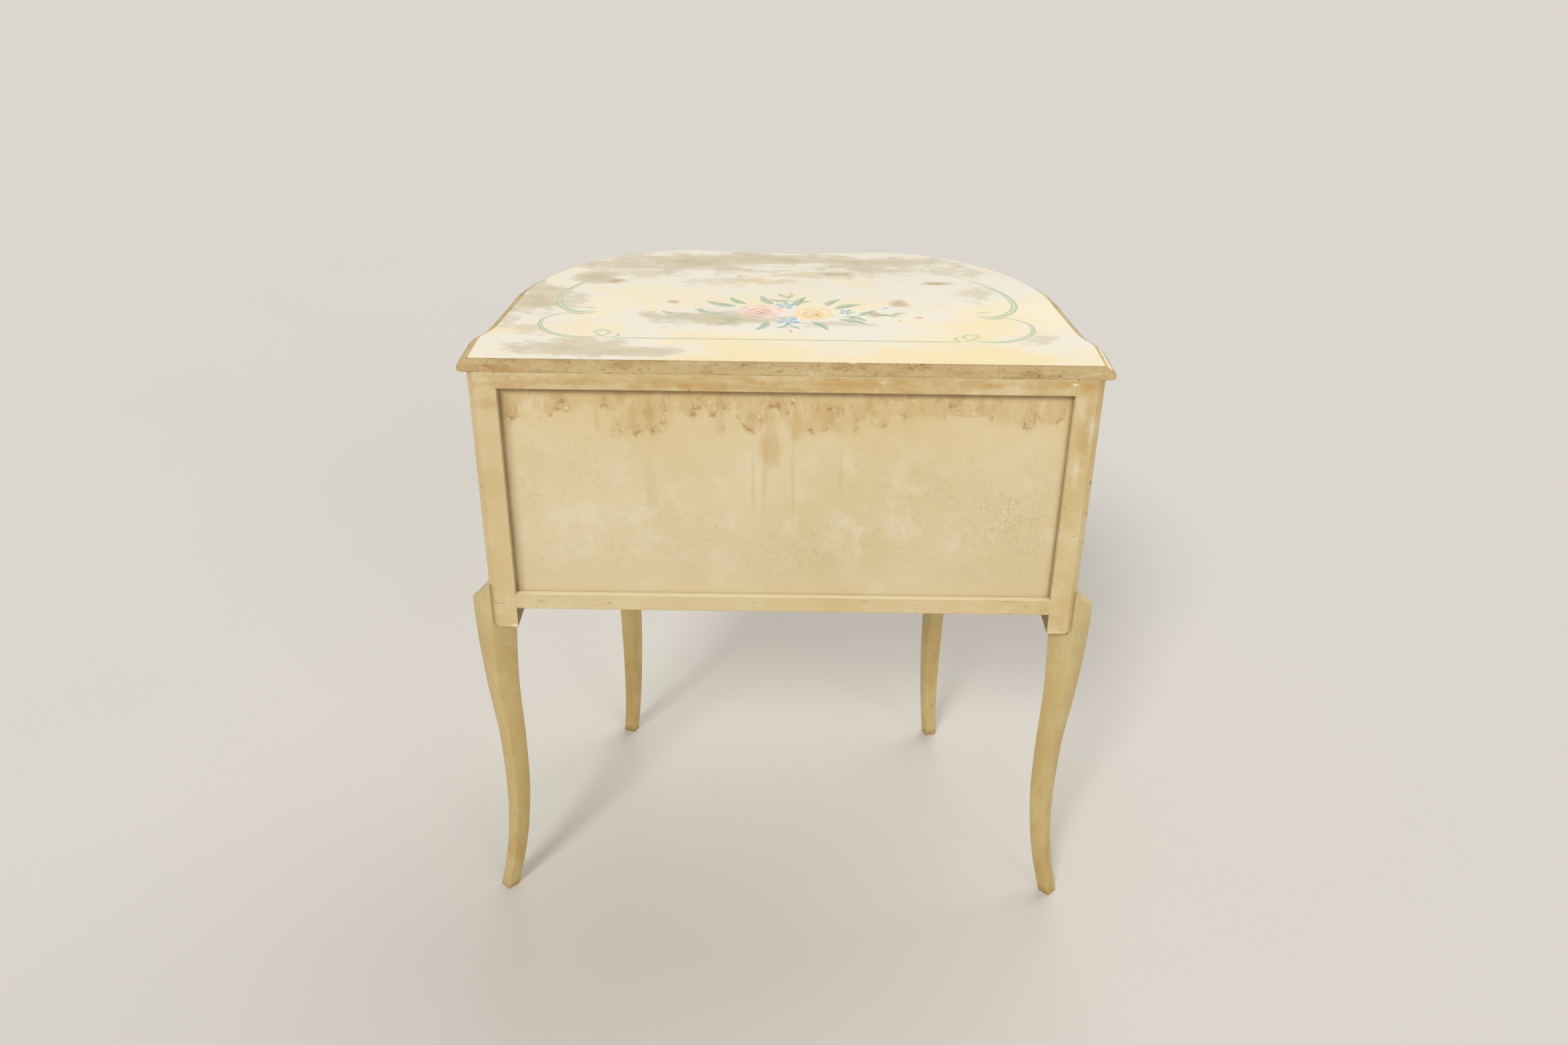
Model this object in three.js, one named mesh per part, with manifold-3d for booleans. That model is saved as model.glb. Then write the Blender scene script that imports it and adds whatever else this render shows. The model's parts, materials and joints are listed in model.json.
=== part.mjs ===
// A small painted commode with a serpentine plan: two drawers on a tall set of cabriole legs.
// Millimetres, +Z up, front toward -Y, left and right as seen from the front.
// While the pieces are shaped the back plane is y = 0; the whole chest is centred at the end.

import * as THREE from 'three';
import { mergeVertices } from 'three/addons/utils/BufferGeometryUtils.js';
import Module from 'manifold-3d';

const wasm = await Module();
wasm.setup();

// The whole chest
const chestHeight = 765;
const caseWidth = 686.5;
const caseDepth = 406;
const caseUnderside = 453;
const seatGap = 0.3;
const cutOverrun = 4;

// Top board
const topThickness = 17;
const topOverhang = 9.8;
const topMouldingReach = 13;
const topSetIn = 2;

// Rear posts and the frame of the back
const rearPostWidth = 31.4;
const rearPostDepth = 95;
const postDrop = 26;
const postCant = 8;
const postHeelRadius = 1.6;
const backRailThickness = 20;
const backTopRailHeight = 17.5;
const backBottomRailHeight = 19;
const backMiddleRailDepth = 26;
const panelRecess = 9;
const panelThickness = 6;
const panelTongue = 6;

// Front posts, rails and apron
const drawerOpeningWidth = 408;
const frontPostDepth = 88;
const frontRailDepth = 48;
const frontTopRailHeight = 17.5;
const dividerHeight = 14;
const apronThickness = 20;
const apronRise = 17;

// Sides and bottom
const sideThickness = 12;
const sideDrop = 24;
const boardThickness = 6;
const boardRise = 4;
const boardTongue = 5;

// Runners, kickers, stops and glue blocks
const runnerWidth = 26;
const guideWidth = 12;
const guideHeight = 18;
const kickerWidth = 22;
const stopWidth = 30;
const stopDepth = 12;
const stopHeight = 5;
const stopSpacing = 150;
const blockSize = 32;
const blockHeight = 24;

// Legs
const kneeSize = 36;
const footReach = 31;
const kneeRise = 26;
const shoulderRise = 54;
const arrisRadius = 1.6;
const rearLegInset = 27;
const frontLegInset = 49;
const frontLegInboard = 22.2;
const frontLegTurn = THREE.MathUtils.degToRad(25);

// Drawers
const drawerGap = 1.2;
const drawerFrontThickness = 20;
const drawerSideThickness = 10;
const drawerBackThickness = 9;
const drawerBottomThickness = 5;
const drawerBottomRise = 9;
const drawerSideFall = 13;
const drawerTailroom = 6;
const grooveDepth = 4.5;
const tailLength = 13;
const tailCount = 3;

// Bail pulls
const pullOffset = 118;
const pullSpacing = 64;
const rosetteDiameter = 23;
const rosetteThickness = 3.2;
const stemDiameter = 6.4;
const eyeDiameter = 10;
const pivotStandoff = 15;
const pinDiameter = 3.4;
const pinClearance = 0.3;
const gripDiameter = 6;
const bailDrop = 34;
const bailShoulder = 9;

// Shares of half the case's width and of its depth, from the back corner to the middle of the front
const planShares = [
  [1, 0.14],
  [0.995, 0.172],
  [0.979, 0.202],
  [0.965, 0.241],
  [0.957, 0.296],
  [0.94, 0.432],
  [0.915, 0.6],
  [0.832, 0.755],
  [0.7, 0.887],
  [0.555, 0.963],
  [0.388, 1],
  [0.207, 0.988],
  [0, 0.974],
];
const sideStartShare = 0.07;
const bowStartShare = 0.6;

// Shares of the moulding's reach outward and of the top's thickness downward
const mouldingShares = [
  [0.76, 1],
  [0.9, 0.94],
  [0.98, 0.84],
  [1, 0.71],
  [0.92, 0.53],
  [0.75, 0.35],
  [0.5, 0.21],
  [0.24, 0.15],
  [0.06, 0.13],
  [0, 0],
];

// Leg profile from foot to knee: shares of the leg's height, of the foot's reach and of the knee's size
const legShares = [
  [0, 1, 0.478],
  [0.1, 0.69, 0.499],
  [0.2, 0.477, 0.531],
  [0.3, 0.358, 0.567],
  [0.4, 0.315, 0.611],
  [0.5, 0.339, 0.642],
  [0.6, 0.406, 0.681],
  [0.7, 0.565, 0.753],
  [0.8, 0.697, 0.828],
  [0.9, 0.79, 0.922],
  [1, 0.845, 0.994],
  [1.06, 0.85, 1],
  [1.14, 0.85, 1],
];

// Shares of the apron's drop along half the opening, from the post to the middle
const apronShares = [
  [1, 1],
  [0.93, 0.72],
  [0.8, 0.3],
  [0.6, 0.12],
  [0.4, 0.2],
  [0.22, 0.62],
  [0.1, 1.05],
  [0, 1.2],
];

// Shares of the sides' drop along half their length, from the end to the middle
const sideEdgeShares = [
  [1, 1],
  [0.87, 0.5],
  [0.6, 0.12],
  [0.3, 0.01],
  [0, 0],
];

// Heights that follow
const caseTop = chestHeight - topThickness;
const legHeight = caseUnderside - postDrop;
const railTop = caseTop - seatGap;
const openingBottom = caseUnderside + apronRise;
const openingTop = railTop - frontTopRailHeight;
const drawerOpeningHeight = (openingTop - openingBottom - dividerHeight) / 2;
const dividerBottom = openingBottom + drawerOpeningHeight;
const dividerTop = dividerBottom + dividerHeight;
const boardBottom = caseUnderside + boardRise;
const boardTop = boardBottom + boardThickness;
const halfWidth = caseWidth / 2;
const halfOpening = drawerOpeningWidth / 2;
const postInner = halfWidth - rearPostWidth;
const frontPostBack = caseDepth - frontPostDepth;
const drawerHalf = halfOpening - drawerGap;
const farOut = caseWidth;

const paint = { color: 0xd8c496, roughness: 0.55, metalness: 0 };
const finishes = {
  paintedTop: { color: 0xf3e4bd, roughness: 0.5, metalness: 0 },
  paintedCase: paint,
  paintedLeg: { color: 0xcbb277, roughness: 0.55, metalness: 0 },
  bareBoard: { color: 0xb08a5a, roughness: 0.8, metalness: 0 },
  drawerWood: { color: 0xc7a06c, roughness: 0.7, metalness: 0 },
  agedBrass: { color: 0xa8854a, roughness: 0.35, metalness: 1 },
};

const commode = new THREE.Group();

function toSolid(geometry) {
  const bare = geometry.clone();
  bare.deleteAttribute('normal');
  bare.deleteAttribute('uv');
  const merged = mergeVertices(bare, seatGap / 1000);
  return new wasm.Manifold(new wasm.Mesh({
    numProp: 3,
    vertProperties: Float32Array.from(merged.attributes.position.array),
    triVerts: Uint32Array.from(merged.index.array),
  }));
}

function toGeometry(solid) {
  const mesh = solid.getMesh();
  const geometry = new THREE.BufferGeometry();
  geometry.setAttribute('position', new THREE.BufferAttribute(Float32Array.from(mesh.vertProperties), 3));
  geometry.setIndex(Array.from(mesh.triVerts));
  return geometry;
}

function add(name, solid, finish) {
  const mesh = new THREE.Mesh(toGeometry(solid), new THREE.MeshStandardMaterial(finishes[finish]));
  mesh.name = name;
  commode.add(mesh);
  return mesh;
}

function extrude(points, depth) {
  const outline = new THREE.Shape(points.map(([x, y]) => new THREE.Vector2(x, y)));
  return new THREE.ExtrudeGeometry(outline, { depth, bevelEnabled: false });
}

// A plan outline raised from one height to another
function prism(points, bottom, top) {
  const geometry = extrude(points, top - bottom);
  geometry.translate(0, 0, bottom);
  return toSolid(geometry);
}

// A front elevation in x and z, run back from one y to another
function runBack(points, front, back) {
  const geometry = extrude(points, back - front);
  geometry.rotateX(Math.PI / 2);
  geometry.translate(0, back, 0);
  return toSolid(geometry);
}

// A side elevation in y and z, run across from one x to another
function runAcross(points, left, right) {
  const geometry = extrude(points, right - left);
  geometry.rotateX(Math.PI / 2);
  geometry.rotateZ(Math.PI / 2);
  geometry.translate(left, 0, 0);
  return toSolid(geometry);
}

function block(left, right, front, back, bottom, top) {
  const geometry = new THREE.BoxGeometry(right - left, back - front, top - bottom);
  geometry.translate((left + right) / 2, (front + back) / 2, (bottom + top) / 2);
  return toSolid(geometry);
}

// A block given by distances out from the middle and forward from the back plane, on either side
function sideBlock(side, inner, outer, rear, front, bottom, top) {
  const ends = [side * inner, side * outer].sort((a, b) => a - b);
  return block(ends[0], ends[1], -front, -rear, bottom, top);
}

// A skin over rings of points, each ring closed by a fan at its ends
function loft(rings) {
  const count = rings[0].length;
  const corners = rings.flat().map((p) => p.toArray()).flat();
  const faces = [];
  for (let level = 0; level < rings.length - 1; level += 1) {
    for (let i = 0; i < count; i += 1) {
      const next = (i + 1) % count;
      const low = level * count;
      const high = low + count;
      faces.push(low + i, low + next, high + next);
      faces.push(low + i, high + next, high + i);
    }
  }
  const ends = [rings[0], rings[rings.length - 1]];
  ends.forEach((ring, end) => {
    const centre = ring.reduce((sum, p) => sum.add(p), new THREE.Vector3()).divideScalar(count);
    const hub = corners.length / 3;
    const first = end ? (rings.length - 1) * count : 0;
    corners.push(...centre.toArray());
    for (let i = 0; i < count; i += 1) {
      const next = (i + 1) % count;
      faces.push(hub, first + (end ? i : next), first + (end ? next : i));
    }
  });
  const geometry = new THREE.BufferGeometry();
  geometry.setAttribute('position', new THREE.Float32BufferAttribute(corners, 3));
  geometry.setIndex(faces);
  return toSolid(geometry);
}

function splineThrough(points, divisions) {
  const corners = points.map(([x, y]) => new THREE.Vector3(x, y, 0));
  const curve = new THREE.CatmullRomCurve3(corners, false, 'centripetal');
  return curve.getPoints(divisions).map((p) => [p.x, p.y]);
}

// The case's plan with its outward directions, from the left back corner round the front to the right one
function sampleCase() {
  const shares = [[1, sideStartShare], ...planShares];
  const half = shares.map(([across, forward]) => [across * halfWidth, -forward * caseDepth]);
  const right = half.slice().reverse();
  const left = half.map(([x, y]) => [-x, y]);
  const points = [...left, ...right.slice(1)].map(([x, y]) => new THREE.Vector3(x, y, 0));
  const curve = new THREE.CatmullRomCurve3(points, false, 'centripetal');
  const spans = points.length - 1;
  const samples = [];
  for (let span = 1; span < spans - 1; span += 1) {
    const fromEnd = Math.min(span, spans - 1 - span);
    const steps = fromEnd < 6 ? 2 : 4;
    for (let step = 0; step < steps; step += 1) {
      samples.push((span + step / steps) / spans);
    }
  }
  samples.push((spans - 1) / spans);
  const path = samples.map((t) => {
    const point = curve.getPoint(t);
    const along = curve.getTangent(t);
    return { x: point.x, y: point.y, outX: -along.y * -1, outY: -along.x };
  });
  path.forEach((p) => {
    const length = Math.hypot(p.outX, p.outY);
    p.outX /= length;
    p.outY /= length;
  });
  path[0] = { x: -halfWidth, y: path[0].y, outX: -1, outY: 0 };
  path[path.length - 1] = { x: halfWidth, y: path[path.length - 1].y, outX: 1, outY: 0 };
  path.unshift({ x: -halfWidth, y: 0, outX: -1, outY: 0 });
  path.push({ x: halfWidth, y: 0, outX: 1, outY: 0 });
  return path;
}

const casePath = sampleCase();

// The plan moved out by a distance, or in where it is negative; its back edge lies on the given y
function caseOutline(offset, back = 0) {
  return casePath.map((p) => [p.x + p.outX * offset, p.y === 0 ? back : p.y + p.outY * offset]);
}

// Only the bowed part of the moved plan, which runs round the front from side to side
function bowOutline(offset) {
  const bow = casePath.filter((p) => p.y < -frontPostBack * bowStartShare);
  return bow.map((p) => [p.x + p.outX * offset, p.y + p.outY * offset]);
}

function caseRegion(offset, bottom, top) {
  return prism(caseOutline(offset), bottom, top);
}

// A strip that follows the plan between two offsets, no wider than half a width each way
function bowedStrip(outer, inner, half, bottom, top) {
  const outline = [...bowOutline(outer), ...bowOutline(inner).reverse()];
  const limit = block(-half, half, -farOut, 0, bottom - cutOverrun, top + cutOverrun);
  return prism(outline, bottom, top).intersect(limit);
}

// Everything ahead of the moved plan, to cut with
function aheadOf(offset, bottom, top) {
  const bow = bowOutline(offset);
  const start = bow[0][1];
  const corners = [[farOut, start], [farOut, -farOut], [-farOut, -farOut], [-farOut, start]];
  return prism([...bow, ...corners], bottom, top);
}

function topBoard() {
  const rings = mouldingShares.map(([outShare, downShare]) => {
    const offset = topOverhang - topMouldingReach * (1 - outShare);
    const height = chestHeight - topThickness * downShare;
    return caseOutline(offset, -topSetIn).map(([x, y]) => new THREE.Vector3(x, y, height));
  });
  return loft(rings);
}

// Rear post: square to the back, its outer side following the plan
function rearPost(side, grow = 0) {
  const inner = postInner - grow;
  const bottom = legHeight - grow;
  const core = sideBlock(side, inner, farOut, -cutOverrun, rearPostDepth + grow, bottom, railTop);
  return caseRegion(grow, bottom, railTop).intersect(core);
}

// The same with its outer corner canted
function cantedPost(side, grow = 0) {
  const start = halfWidth - postCant + grow * Math.SQRT2;
  const run = postCant + cutOverrun;
  const cant = prism([
    [side * start, 0],
    [side * (start + run), -run],
    [side * (start + run), cutOverrun],
    [side * start, cutOverrun],
  ], legHeight - cutOverrun, chestHeight);
  return rearPost(side, grow).subtract(cant);
}

function finishRearPost(side) {
  const heel = [[side * (postInner - cutOverrun), legHeight - cutOverrun]];
  const turns = 3;
  for (let turn = 0; turn <= turns; turn += 1) {
    const angle = (turn / turns) * (Math.PI / 2);
    const across = postInner + postHeelRadius * (1 - Math.sin(angle));
    heel.push([side * across, legHeight + postHeelRadius * (1 - Math.cos(angle))]);
  }
  heel.splice(1, 0, [side * (postInner + postHeelRadius), legHeight - cutOverrun]);
  heel.push([side * (postInner - cutOverrun), legHeight + postHeelRadius]);
  const heelCut = runBack(heel, -rearPostDepth - cutOverrun, cutOverrun);
  return cantedPost(side).subtract(heelCut).subtract(backPanel(seatGap));
}

// Front post: sawn to the plan outside, straight beside the drawers and behind
function frontPost(side, grow = 0) {
  const rear = frontPostBack - grow;
  const bottom = legHeight - grow;
  const core = sideBlock(side, halfOpening - grow, farOut, rear, caseDepth, bottom, railTop);
  return caseRegion(grow, bottom, railTop).intersect(core);
}

function backPanel(grow) {
  return block(
    -(postInner + panelTongue + grow),
    postInner + panelTongue + grow,
    -(panelRecess + panelThickness + grow),
    -(panelRecess - grow),
    caseUnderside + backBottomRailHeight - panelTongue - grow,
    railTop - backTopRailHeight + panelTongue + grow,
  );
}

function backRail(bottom, top) {
  const reach = postInner - seatGap;
  return block(-reach, reach, -backRailThickness, 0, bottom, top).subtract(backPanel(seatGap));
}

function backMiddleRail() {
  const reach = postInner - seatGap;
  const rear = panelRecess + panelThickness + seatGap;
  return block(-reach, reach, -(rear + backMiddleRailDepth), -rear, dividerBottom, dividerTop);
}

const middleRailFront = panelRecess + panelThickness + seatGap + backMiddleRailDepth;

// Case bottom, let into grooves in the sides and the back rail and notched round the posts
function bottomBoard(grow) {
  const plate = caseRegion(boardTongue - sideThickness + grow, boardBottom - grow, boardTop + grow);
  const behind = block(-farOut, farOut, boardTongue - backRailThickness + grow, farOut, 0, chestHeight);
  return plate.subtract(behind);
}

function finishBottomBoard() {
  const apronCut = bowedStrip(
    cutOverrun,
    -(apronThickness + seatGap),
    halfOpening + seatGap,
    boardBottom - cutOverrun,
    boardTop + cutOverrun,
  );
  let board = bottomBoard(0).subtract(apronCut);
  for (const side of [-1, 1]) {
    board = board.subtract(rearPost(side, seatGap)).subtract(frontPost(side, seatGap));
  }
  return board;
}

// Side: bent to the plan, with an arched lower edge
function sidePanel(side) {
  const rear = rearPostDepth + seatGap;
  const front = frontPostBack - seatGap;
  const middle = (rear + front) / 2;
  const halfLength = (front - rear) / 2;
  const low = caseUnderside - sideDrop;
  const skin = [...caseOutline(0), ...caseOutline(-sideThickness).reverse()];
  const limit = sideBlock(side, halfOpening, farOut, rear, front, low - cutOverrun, railTop + cutOverrun);
  const halfEdge = sideEdgeShares.map(([along, drop]) => [
    along * halfLength,
    caseUnderside - drop * sideDrop,
  ]);
  const edge = splineThrough([
    ...halfEdge.map(([along, z]) => [-along, z]),
    ...halfEdge.slice(0, -1).reverse(),
  ], 16).map(([along, z]) => [along - middle, z]);
  const under = runAcross([
    ...edge,
    [halfLength + cutOverrun - middle, low],
    [halfLength + cutOverrun - middle, low - cutOverrun],
    [-halfLength - cutOverrun - middle, low - cutOverrun],
    [-halfLength - cutOverrun - middle, low],
  ], -farOut, farOut);
  return prism(skin, low, railTop).intersect(limit).subtract(under).subtract(bottomBoard(seatGap));
}

// Apron below the drawers, scalloped along its lower edge
function apron() {
  const reach = halfOpening - seatGap;
  const low = caseUnderside - postDrop * 2;
  const strip = bowedStrip(0, -apronThickness, reach, low, openingBottom);
  const halfEdge = apronShares.map(([across, drop]) => [
    across * halfOpening,
    caseUnderside - drop * postDrop,
  ]);
  const edge = splineThrough([
    ...halfEdge.map(([x, z]) => [-x, z]),
    ...halfEdge.slice(0, -1).reverse(),
  ], 48);
  const under = runBack([
    ...edge,
    [halfOpening + cutOverrun, caseUnderside - postDrop],
    [halfOpening + cutOverrun, low - cutOverrun],
    [-halfOpening - cutOverrun, low - cutOverrun],
    [-halfOpening - cutOverrun, caseUnderside - postDrop],
  ], -farOut, 0);
  return strip.subtract(under);
}

// Runner with a guide along its outer edge, notched round the front post
function runner(side, bottom, top, rear, frontCut) {
  const outer = halfOpening + guideWidth;
  const guideTop = top + guideHeight;
  const deck = sideBlock(side, outer - runnerWidth, outer, rear, caseDepth, bottom, top);
  const guide = sideBlock(side, halfOpening, outer, rear, caseDepth, top - seatGap, guideTop);
  const ahead = aheadOf(frontCut, bottom - cutOverrun, guideTop + cutOverrun);
  return deck.add(guide).subtract(ahead).subtract(frontPost(side, seatGap));
}

function kicker(side) {
  const rear = backRailThickness + seatGap;
  const inner = halfOpening - kickerWidth;
  const bar = sideBlock(side, inner, halfOpening, rear, caseDepth, openingTop, railTop);
  const ahead = aheadOf(-(frontRailDepth + seatGap), openingTop - cutOverrun, railTop + cutOverrun);
  return bar.subtract(ahead).subtract(frontPost(side, seatGap));
}

// Stop glued to what lies under a drawer, just behind the drawer front
function drawerStop(side, seat, opening) {
  const bottom = seat + seatGap;
  const top = opening + stopHeight;
  const middle = side * (stopSpacing / 2);
  const bar = block(middle - stopWidth / 2, middle + stopWidth / 2, -caseDepth, -frontPostBack, bottom, top);
  const front = drawerFrontThickness + drawerGap;
  return bar.intersect(bowedStrip(-front, -(front + stopDepth), halfOpening, bottom, top));
}

// Triangular block glued into the corner under the top; its long face runs forward or backward from its seat
function glueBlock(side, corner, seat, run) {
  const reach = blockSize + farOut - corner;
  const outline = [
    [side * (corner - blockSize), -seat],
    [side * farOut, -seat],
    [side * farOut, -(seat + run * reach)],
  ];
  const bottom = railTop - blockHeight;
  const inside = caseRegion(-(sideThickness + seatGap), bottom, railTop);
  const besideRail = sideBlock(side, halfOpening + seatGap, farOut, 0, caseDepth, bottom, railTop);
  const corners = prism(outline, bottom, railTop).intersect(inside);
  return corners.intersect(besideRail).subtract(rearPost(side, seatGap));
}

// Half the width of the moved plan at a given distance forward of the back
function planAcross(offset, forward) {
  const outline = caseOutline(offset).slice(Math.floor(casePath.length / 2));
  const next = outline.findIndex(([, y]) => y >= -forward);
  const [x0, y0] = outline[next - 1];
  const [x1, y1] = outline[next];
  return x0 + ((x1 - x0) * (-forward - y0)) / (y1 - y0);
}

// Square section set on its corner, with its arrises eased; radius and middle lie along the leg's own x axis
function legSection(middle, size, height) {
  const reach = size / Math.SQRT2;
  const points = [];
  for (let corner = 0; corner < 4; corner += 1) {
    const facing = corner * (Math.PI / 2);
    const inset = reach - arrisRadius * Math.SQRT2;
    for (let turn = -1; turn <= 1; turn += 1) {
      const angle = facing + turn * (Math.PI / 4);
      points.push(new THREE.Vector3(
        middle + inset * Math.cos(facing) + arrisRadius * Math.cos(angle),
        inset * Math.sin(facing) + arrisRadius * Math.sin(angle),
        height,
      ));
    }
  }
  return points;
}

// A leg standing at its own origin: the case's face is x = 0 and the leg sweeps out along +x
function legBody() {
  const reachCurve = splineThrough(legShares.map(([up, reach]) => [up * legHeight, reach * footReach]), 22);
  const sizeCurve = splineThrough(legShares.map(([up, , size]) => [up * legHeight, size * kneeSize]), 80);
  const sizeAt = (height) => {
    const above = Math.max(1, sizeCurve.findIndex(([h]) => h >= height));
    const [h0, s0] = sizeCurve[above - 1];
    const [h1, s1] = sizeCurve[above];
    return s0 + ((s1 - s0) * (height - h0)) / (h1 - h0);
  };
  const rings = reachCurve.map(([height, reach]) => {
    const size = sizeAt(height);
    return legSection(reach - size / Math.SQRT2, size, height);
  });
  const kneeTop = legHeight + kneeRise;
  const shoulderTop = legHeight + shoulderRise;
  const kneeReach = footReach * legShares[legShares.length - 1][1];
  const hollow = splineThrough([
    [kneeReach, kneeTop],
    [kneeReach * 0.72, kneeTop + (shoulderTop - kneeTop) * 0.16],
    [kneeReach * 0.42, kneeTop + (shoulderTop - kneeTop) * 0.38],
    [kneeReach * 0.2, kneeTop + (shoulderTop - kneeTop) * 0.62],
    [0, shoulderTop],
  ], 10);
  const sweep = runBack([
    [kneeReach + cutOverrun, kneeTop],
    ...hollow,
    [-kneeSize, shoulderTop],
    [-kneeSize, chestHeight],
    [kneeReach + cutOverrun, chestHeight],
  ], -kneeSize, kneeSize);
  return loft(rings).subtract(sweep);
}

function standLeg(name, solid, x, forward, turn, notch) {
  const placed = solid.rotate([0, 0, THREE.MathUtils.radToDeg(turn)]).translate([x, -forward, 0]);
  return add(name, placed.subtract(notch), 'paintedLeg');
}

// Dovetail tails on a drawer side's end, widening away from the side
function tails(side, baseY, direction, bottom, top, grow) {
  const pitch = (top - bottom) / tailCount;
  const baseHalf = pitch * 0.24;
  const tipHalf = pitch * 0.33;
  const pieces = [];
  for (let i = 0; i < tailCount; i += 1) {
    const middle = bottom + pitch * (i + 0.5);
    const root = baseY - direction * cutOverrun;
    const tip = baseY + direction * (tailLength + grow);
    const profile = [
      [root, middle - baseHalf - grow],
      [tip, middle - tipHalf - grow],
      [tip, middle + tipHalf + grow],
      [root, middle + baseHalf + grow],
    ];
    const inner = drawerHalf - drawerSideThickness - grow;
    const outer = drawerHalf + (grow ? cutOverrun : 0);
    const ends = [side * inner, side * outer].sort((a, b) => a - b);
    pieces.push(runAcross(profile, ends[0], ends[1]));
  }
  return pieces.reduce((sum, piece) => sum.add(piece));
}

// Distance forward of an offset of the plan at a given distance from the middle
function planForward(offset, across) {
  const outline = caseOutline(offset).slice(Math.floor(casePath.length / 2));
  const next = outline.findIndex(([x]) => x >= across);
  const [x0, y0] = outline[next - 1];
  const [x1, y1] = outline[next];
  return -(y0 + ((y1 - y0) * (across - x0)) / (x1 - x0));
}

function drawerBottom(front, rear, bottom, grow) {
  const reach = drawerHalf - drawerSideThickness + grooveDepth + grow;
  const top = bottom + drawerBottomThickness;
  const board = block(-reach, reach, -caseDepth, -rear + grow, bottom - grow, top + grow);
  return board.subtract(aheadOf(grooveDepth - front + grow, bottom - cutOverrun, top + cutOverrun));
}

function addDrawer(level, openBottom) {
  const frontBottom = openBottom + drawerGap;
  const frontTop = openBottom + drawerOpeningHeight - drawerGap;
  const sideBottom = openBottom + seatGap;
  const sideTop = openBottom + drawerOpeningHeight - drawerSideFall;
  const rear = middleRailFront + drawerTailroom;
  const boardLevel = sideBottom + drawerBottomRise;
  const tailBottom = boardLevel + drawerBottomThickness + grooveDepth;
  const innerFront = planForward(-drawerFrontThickness, drawerHalf - drawerSideThickness / 2);
  const base = innerFront + seatGap * 2;
  let front = bowedStrip(0, -drawerFrontThickness, drawerHalf, frontBottom, frontTop);
  front = front.subtract(drawerBottom(drawerFrontThickness, rear, boardLevel, seatGap));
  const backReach = drawerHalf - drawerSideThickness - seatGap;
  const backTop = sideTop - drawerSideFall / 2;
  const backBase = boardLevel + drawerBottomThickness + seatGap;
  let back = block(-drawerHalf, drawerHalf, -(rear + drawerBackThickness), -rear, backBase, backTop);
  const between = block(-backReach, backReach, -caseDepth, 0, backBase, backTop);
  const floor = drawerBottom(drawerFrontThickness, rear, boardLevel, 0);
  for (const side of [-1, 1]) {
    const word = side < 0 ? 'left' : 'right';
    const inner = drawerHalf - drawerSideThickness;
    const behind = rear + drawerBackThickness + seatGap;
    const board = sideBlock(side, inner, drawerHalf, behind, caseDepth, sideBottom, sideTop);
    const ahead = aheadOf(-(drawerFrontThickness + seatGap), sideBottom - cutOverrun, sideTop + cutOverrun);
    const frontTails = tails(side, -base, -1, tailBottom, sideTop - grooveDepth, 0);
    const rearTails = tails(side, -(rear + tailLength), 1, tailBottom, backTop, 0);
    const lapTop = backBase - seatGap * 2;
    const lap = sideBlock(side, inner, drawerHalf, rear, behind + seatGap, sideBottom, lapTop);
    const rearLimit = sideBlock(side, inner, drawerHalf, rear, caseDepth, sideBottom, sideTop);
    const wall = board.subtract(ahead).add(frontTails).add(rearTails.intersect(rearLimit)).add(lap);
    const groove = drawerBottom(drawerFrontThickness, rear - cutOverrun, boardLevel, seatGap);
    add(`${level}_drawer_side_${word}`, wall.subtract(groove), 'drawerWood');
    front = front.subtract(tails(side, -base, -1, tailBottom, sideTop - grooveDepth, seatGap));
    back = back.subtract(tails(side, -(rear + tailLength), 1, tailBottom, backTop, seatGap));
  }
  add(`${level}_drawer_front`, front, 'paintedCase');
  add(`${level}_drawer_back`, back.add(between.intersect(back)), 'drawerWood');
  add(`${level}_drawer_bottom`, floor, 'drawerWood');
  addPulls(level, (frontBottom + frontTop) / 2);
}

// Rosette, stem and eye turned in one piece; the rosette's back is cut to the bow of the drawer front
function pullPost(x, height, pivotForward) {
  const seat = planForward(0, Math.abs(x));
  const stem = pivotForward - seat;
  const rosetteRadius = rosetteDiameter / 2;
  const stemRadius = stemDiameter / 2;
  const eyeRadius = eyeDiameter / 2;
  const profile = [
    new THREE.Vector2(0, -rosetteThickness),
    new THREE.Vector2(rosetteRadius, -rosetteThickness),
    new THREE.Vector2(rosetteRadius, rosetteThickness * 0.4),
    new THREE.Vector2(rosetteRadius * 0.88, rosetteThickness * 0.85),
    new THREE.Vector2(rosetteRadius * 0.72, rosetteThickness * 0.7),
    new THREE.Vector2(rosetteRadius * 0.5, rosetteThickness * 1.25),
    new THREE.Vector2(stemRadius, rosetteThickness * 1.6),
  ];
  const turns = 6;
  const start = Math.asin(stemRadius / eyeRadius);
  for (let turn = 0; turn <= turns; turn += 1) {
    const angle = start + (turn / turns) * (Math.PI - start);
    const radius = turn === turns ? 0 : eyeRadius * Math.sin(angle);
    profile.push(new THREE.Vector2(radius, stem - eyeRadius * Math.cos(angle)));
  }
  const geometry = new THREE.LatheGeometry(profile, 16);
  geometry.rotateX(Math.PI);
  geometry.translate(x, -seat, height);
  const boreRadius = pinDiameter / 2 + pinClearance;
  const bore = new THREE.CylinderGeometry(boreRadius, boreRadius, eyeDiameter * 2, 12);
  bore.rotateZ(Math.PI / 2);
  bore.translate(x, -pivotForward, height);
  return toSolid(geometry).subtract(toSolid(bore)).subtract(caseRegion(seatGap, 0, chestHeight));
}

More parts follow.
